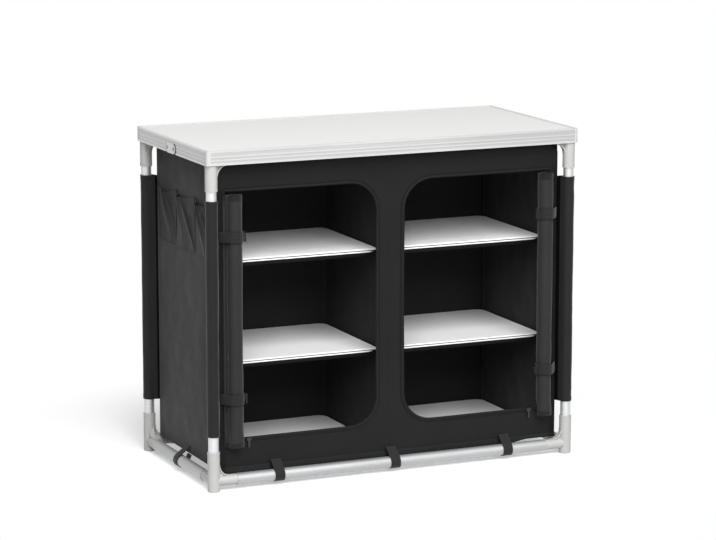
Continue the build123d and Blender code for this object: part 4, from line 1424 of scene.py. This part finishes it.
def white_floor():
    """A floor that shows white and keeps the object's soft shadow; further out it is plain white."""
    material, tree, shader, where = start_material("studio_floor")
    shader.inputs["Base Color"].default_value = (0.6, 0.6, 0.6, 1)
    shader.inputs["Roughness"].default_value = 1.0
    shader.inputs["Specular IOR Level"].default_value = 0.0
    glows = []
    for strength in (FLOOR_GLOW, 1.0):
        glow = tree.nodes.new("ShaderNodeEmission")
        glow.inputs["Strength"].default_value = strength
        glows.append(glow.outputs["Emission"])
    pale = tree.nodes.new("ShaderNodeBsdfDiffuse")
    pale.inputs["Color"].default_value = (0.95, 0.95, 0.95, 1)
    near = tree.nodes.new("ShaderNodeAddShader")
    tree.links.new(pale.outputs["BSDF"], near.inputs[0])
    tree.links.new(glows[0], near.inputs[1])
    away = tree.nodes.new("ShaderNodeVectorMath")
    away.operation = "LENGTH"
    tree.links.new(where.outputs["Object"], away.inputs[0])
    shadow_reach, plain_from = 0.60, 1.0
    far = map_range(tree, away.outputs["Value"], shadow_reach, plain_from, 0.0, 1.0)
    shown, whole = tree.nodes.new("ShaderNodeMixShader"), tree.nodes.new("ShaderNodeMixShader")
    for mix, share, first, second in (
        (shown, far, near.outputs["Shader"], glows[1]),
        (whole, seen_directly(tree), shader.outputs["BSDF"], shown.outputs["Shader"]),
    ):
        tree.links.new(share, mix.inputs["Fac"])
        tree.links.new(first, mix.inputs[1])
        tree.links.new(second, mix.inputs[2])
    tree.links.new(whole.outputs["Shader"], tree.nodes["Material Output"].inputs["Surface"])
    return material


def set_floor():
    """The white floor, a little below the feet."""
    bm = bmesh.new()
    add_grid(bm, 2, -0.0005, (-9, 9), (-9, 9), cell=9.0)
    mesh = bpy.data.meshes.new("studio_floor")
    bm.to_mesh(mesh)
    bm.free()
    floor = bpy.data.objects.new("studio_floor", mesh)
    bpy.context.scene.collection.objects.link(floor)
    mesh.materials.append(white_floor())


def set_world():
    """A backdrop that looks white and gives only a little light."""
    world = bpy.data.worlds.new("studio")
    bpy.context.scene.world = world
    world.use_nodes = True
    nodes, links = world.node_tree.nodes, world.node_tree.links
    soft, white = nodes["Background"], nodes.new("ShaderNodeBackground")
    for backdrop, strength in ((soft, 0.06), (white, 1.0)):
        backdrop.inputs["Color"].default_value = (1, 1, 1, 1)
        backdrop.inputs["Strength"].default_value = strength
    mix = nodes.new("ShaderNodeMixShader")
    links.new(seen_directly(world.node_tree), mix.inputs["Fac"])
    links.new(soft.outputs["Background"], mix.inputs[1])
    links.new(white.outputs["Background"], mix.inputs[2])
    links.new(mix.outputs["Shader"], nodes["World Output"].inputs["Surface"])


def set_lamps():
    """Soft rectangular lamps, each with its place, its two sizes and its power in watts."""
    target = Vector((0, 0, 0.42))
    for name, place, size, power in (
        ("key", (-0.9, -4.6, 4.6), (5.4, 5.0), 600),
        ("low", (-1.0, -5.6, 1.2), (2.6, 2.0), 24),
        ("side", (-2.8, -0.6, 0.35), (2.0, 0.6), 8),
        ("fill", (3.2, -2.2, 1.6), (2.0, 2.0), 3),
    ):
        lamp_data = bpy.data.lights.new(name, "AREA")
        lamp_data.shape = "RECTANGLE"
        lamp_data.size, lamp_data.size_y = size
        lamp_data.energy = power
        lamp = bpy.data.objects.new(name, lamp_data)
        lamp.location = place
        lamp.rotation_euler = (target - Vector(place)).to_track_quat("-Z", "Y").to_euler()
        bpy.context.scene.collection.objects.link(lamp)


def set_camera():
    """The camera, at the photograph's own view of the object."""
    sensor, picture_width, focal_length_px = 36.0, 716, 2950.7
    turn, pitch = math.radians(23.9546), math.radians(10.5979)
    camera_data = bpy.data.cameras.new("camera")
    camera = bpy.data.objects.new("camera", camera_data)
    camera_data.sensor_width = sensor
    camera_data.lens = focal_length_px / picture_width * sensor
    camera_data.clip_end = 60.0
    look = Vector((math.sin(turn) * math.cos(pitch), math.cos(turn) * math.cos(pitch), -math.sin(pitch)))
    camera.location = (-2.8985, -6.5302, 1.7960)
    camera.rotation_euler = look.to_track_quat("-Z", "Y").to_euler()
    bpy.context.scene.collection.objects.link(camera)
    bpy.context.scene.camera = camera
    bpy.context.scene.view_settings.view_transform = "Standard"


class KITCHEN_OT_stage(bpy.types.Operator):
    """Set up the floor, the backdrop, the lamps and the camera"""

    bl_idname = "kitchen.stage"
    bl_label = "Studio"

    def execute(self, context):
        set_floor()
        set_world()
        set_lamps()
        set_camera()
        return {"FINISHED"}


class KITCHEN_PT_panel(bpy.types.Panel):
    """Lists the pieces of the camping kitchen"""

    bl_label = "Camping Kitchen"
    bl_idname = "KITCHEN_PT_panel"
    bl_space_type = "VIEW_3D"
    bl_region_type = "UI"
    bl_category = "Kitchen"

    def draw(self, context):
        for group in (context.scene.kitchen_sizes, context.scene.kitchen_colours):
            for name in group.bl_rna.properties.keys():
                if name not in ("rna_type", "name"):
                    self.layout.prop(group, name)
        for operator in OPERATORS:
            self.layout.operator(operator.bl_idname)


OPERATORS = (
    KITCHEN_OT_frame,
    KITCHEN_OT_worktop,
    KITCHEN_OT_boards,
    KITCHEN_OT_cupboard,
    KITCHEN_OT_zips,
    KITCHEN_OT_shelf_cloths,
    KITCHEN_OT_sleeves,
    KITCHEN_OT_doors,
    KITCHEN_OT_webbing,
    KITCHEN_OT_pockets,
    KITCHEN_OT_stage,
)
CLASSES = (KitchenSizes, KitchenColours, *OPERATORS, KITCHEN_PT_panel)


def register():
    for item in CLASSES:
        bpy.utils.register_class(item)
    bpy.types.Scene.kitchen_sizes = bpy.props.PointerProperty(type=KitchenSizes)
    bpy.types.Scene.kitchen_colours = bpy.props.PointerProperty(type=KitchenColours)


def unregister():
    del bpy.types.Scene.kitchen_sizes
    del bpy.types.Scene.kitchen_colours
    for item in reversed(CLASSES):
        bpy.utils.unregister_class(item)


def main():
    register()
    bpy.ops.kitchen.frame()
    bpy.ops.kitchen.worktop()
    bpy.ops.kitchen.boards()
    bpy.ops.kitchen.cupboard()
    bpy.ops.kitchen.zips()
    bpy.ops.kitchen.shelf_cloths()
    bpy.ops.kitchen.sleeves()
    bpy.ops.kitchen.doors()
    bpy.ops.kitchen.webbing()
    bpy.ops.kitchen.pockets()
    bpy.ops.kitchen.stage()


if __name__ == "__main__":
    main()
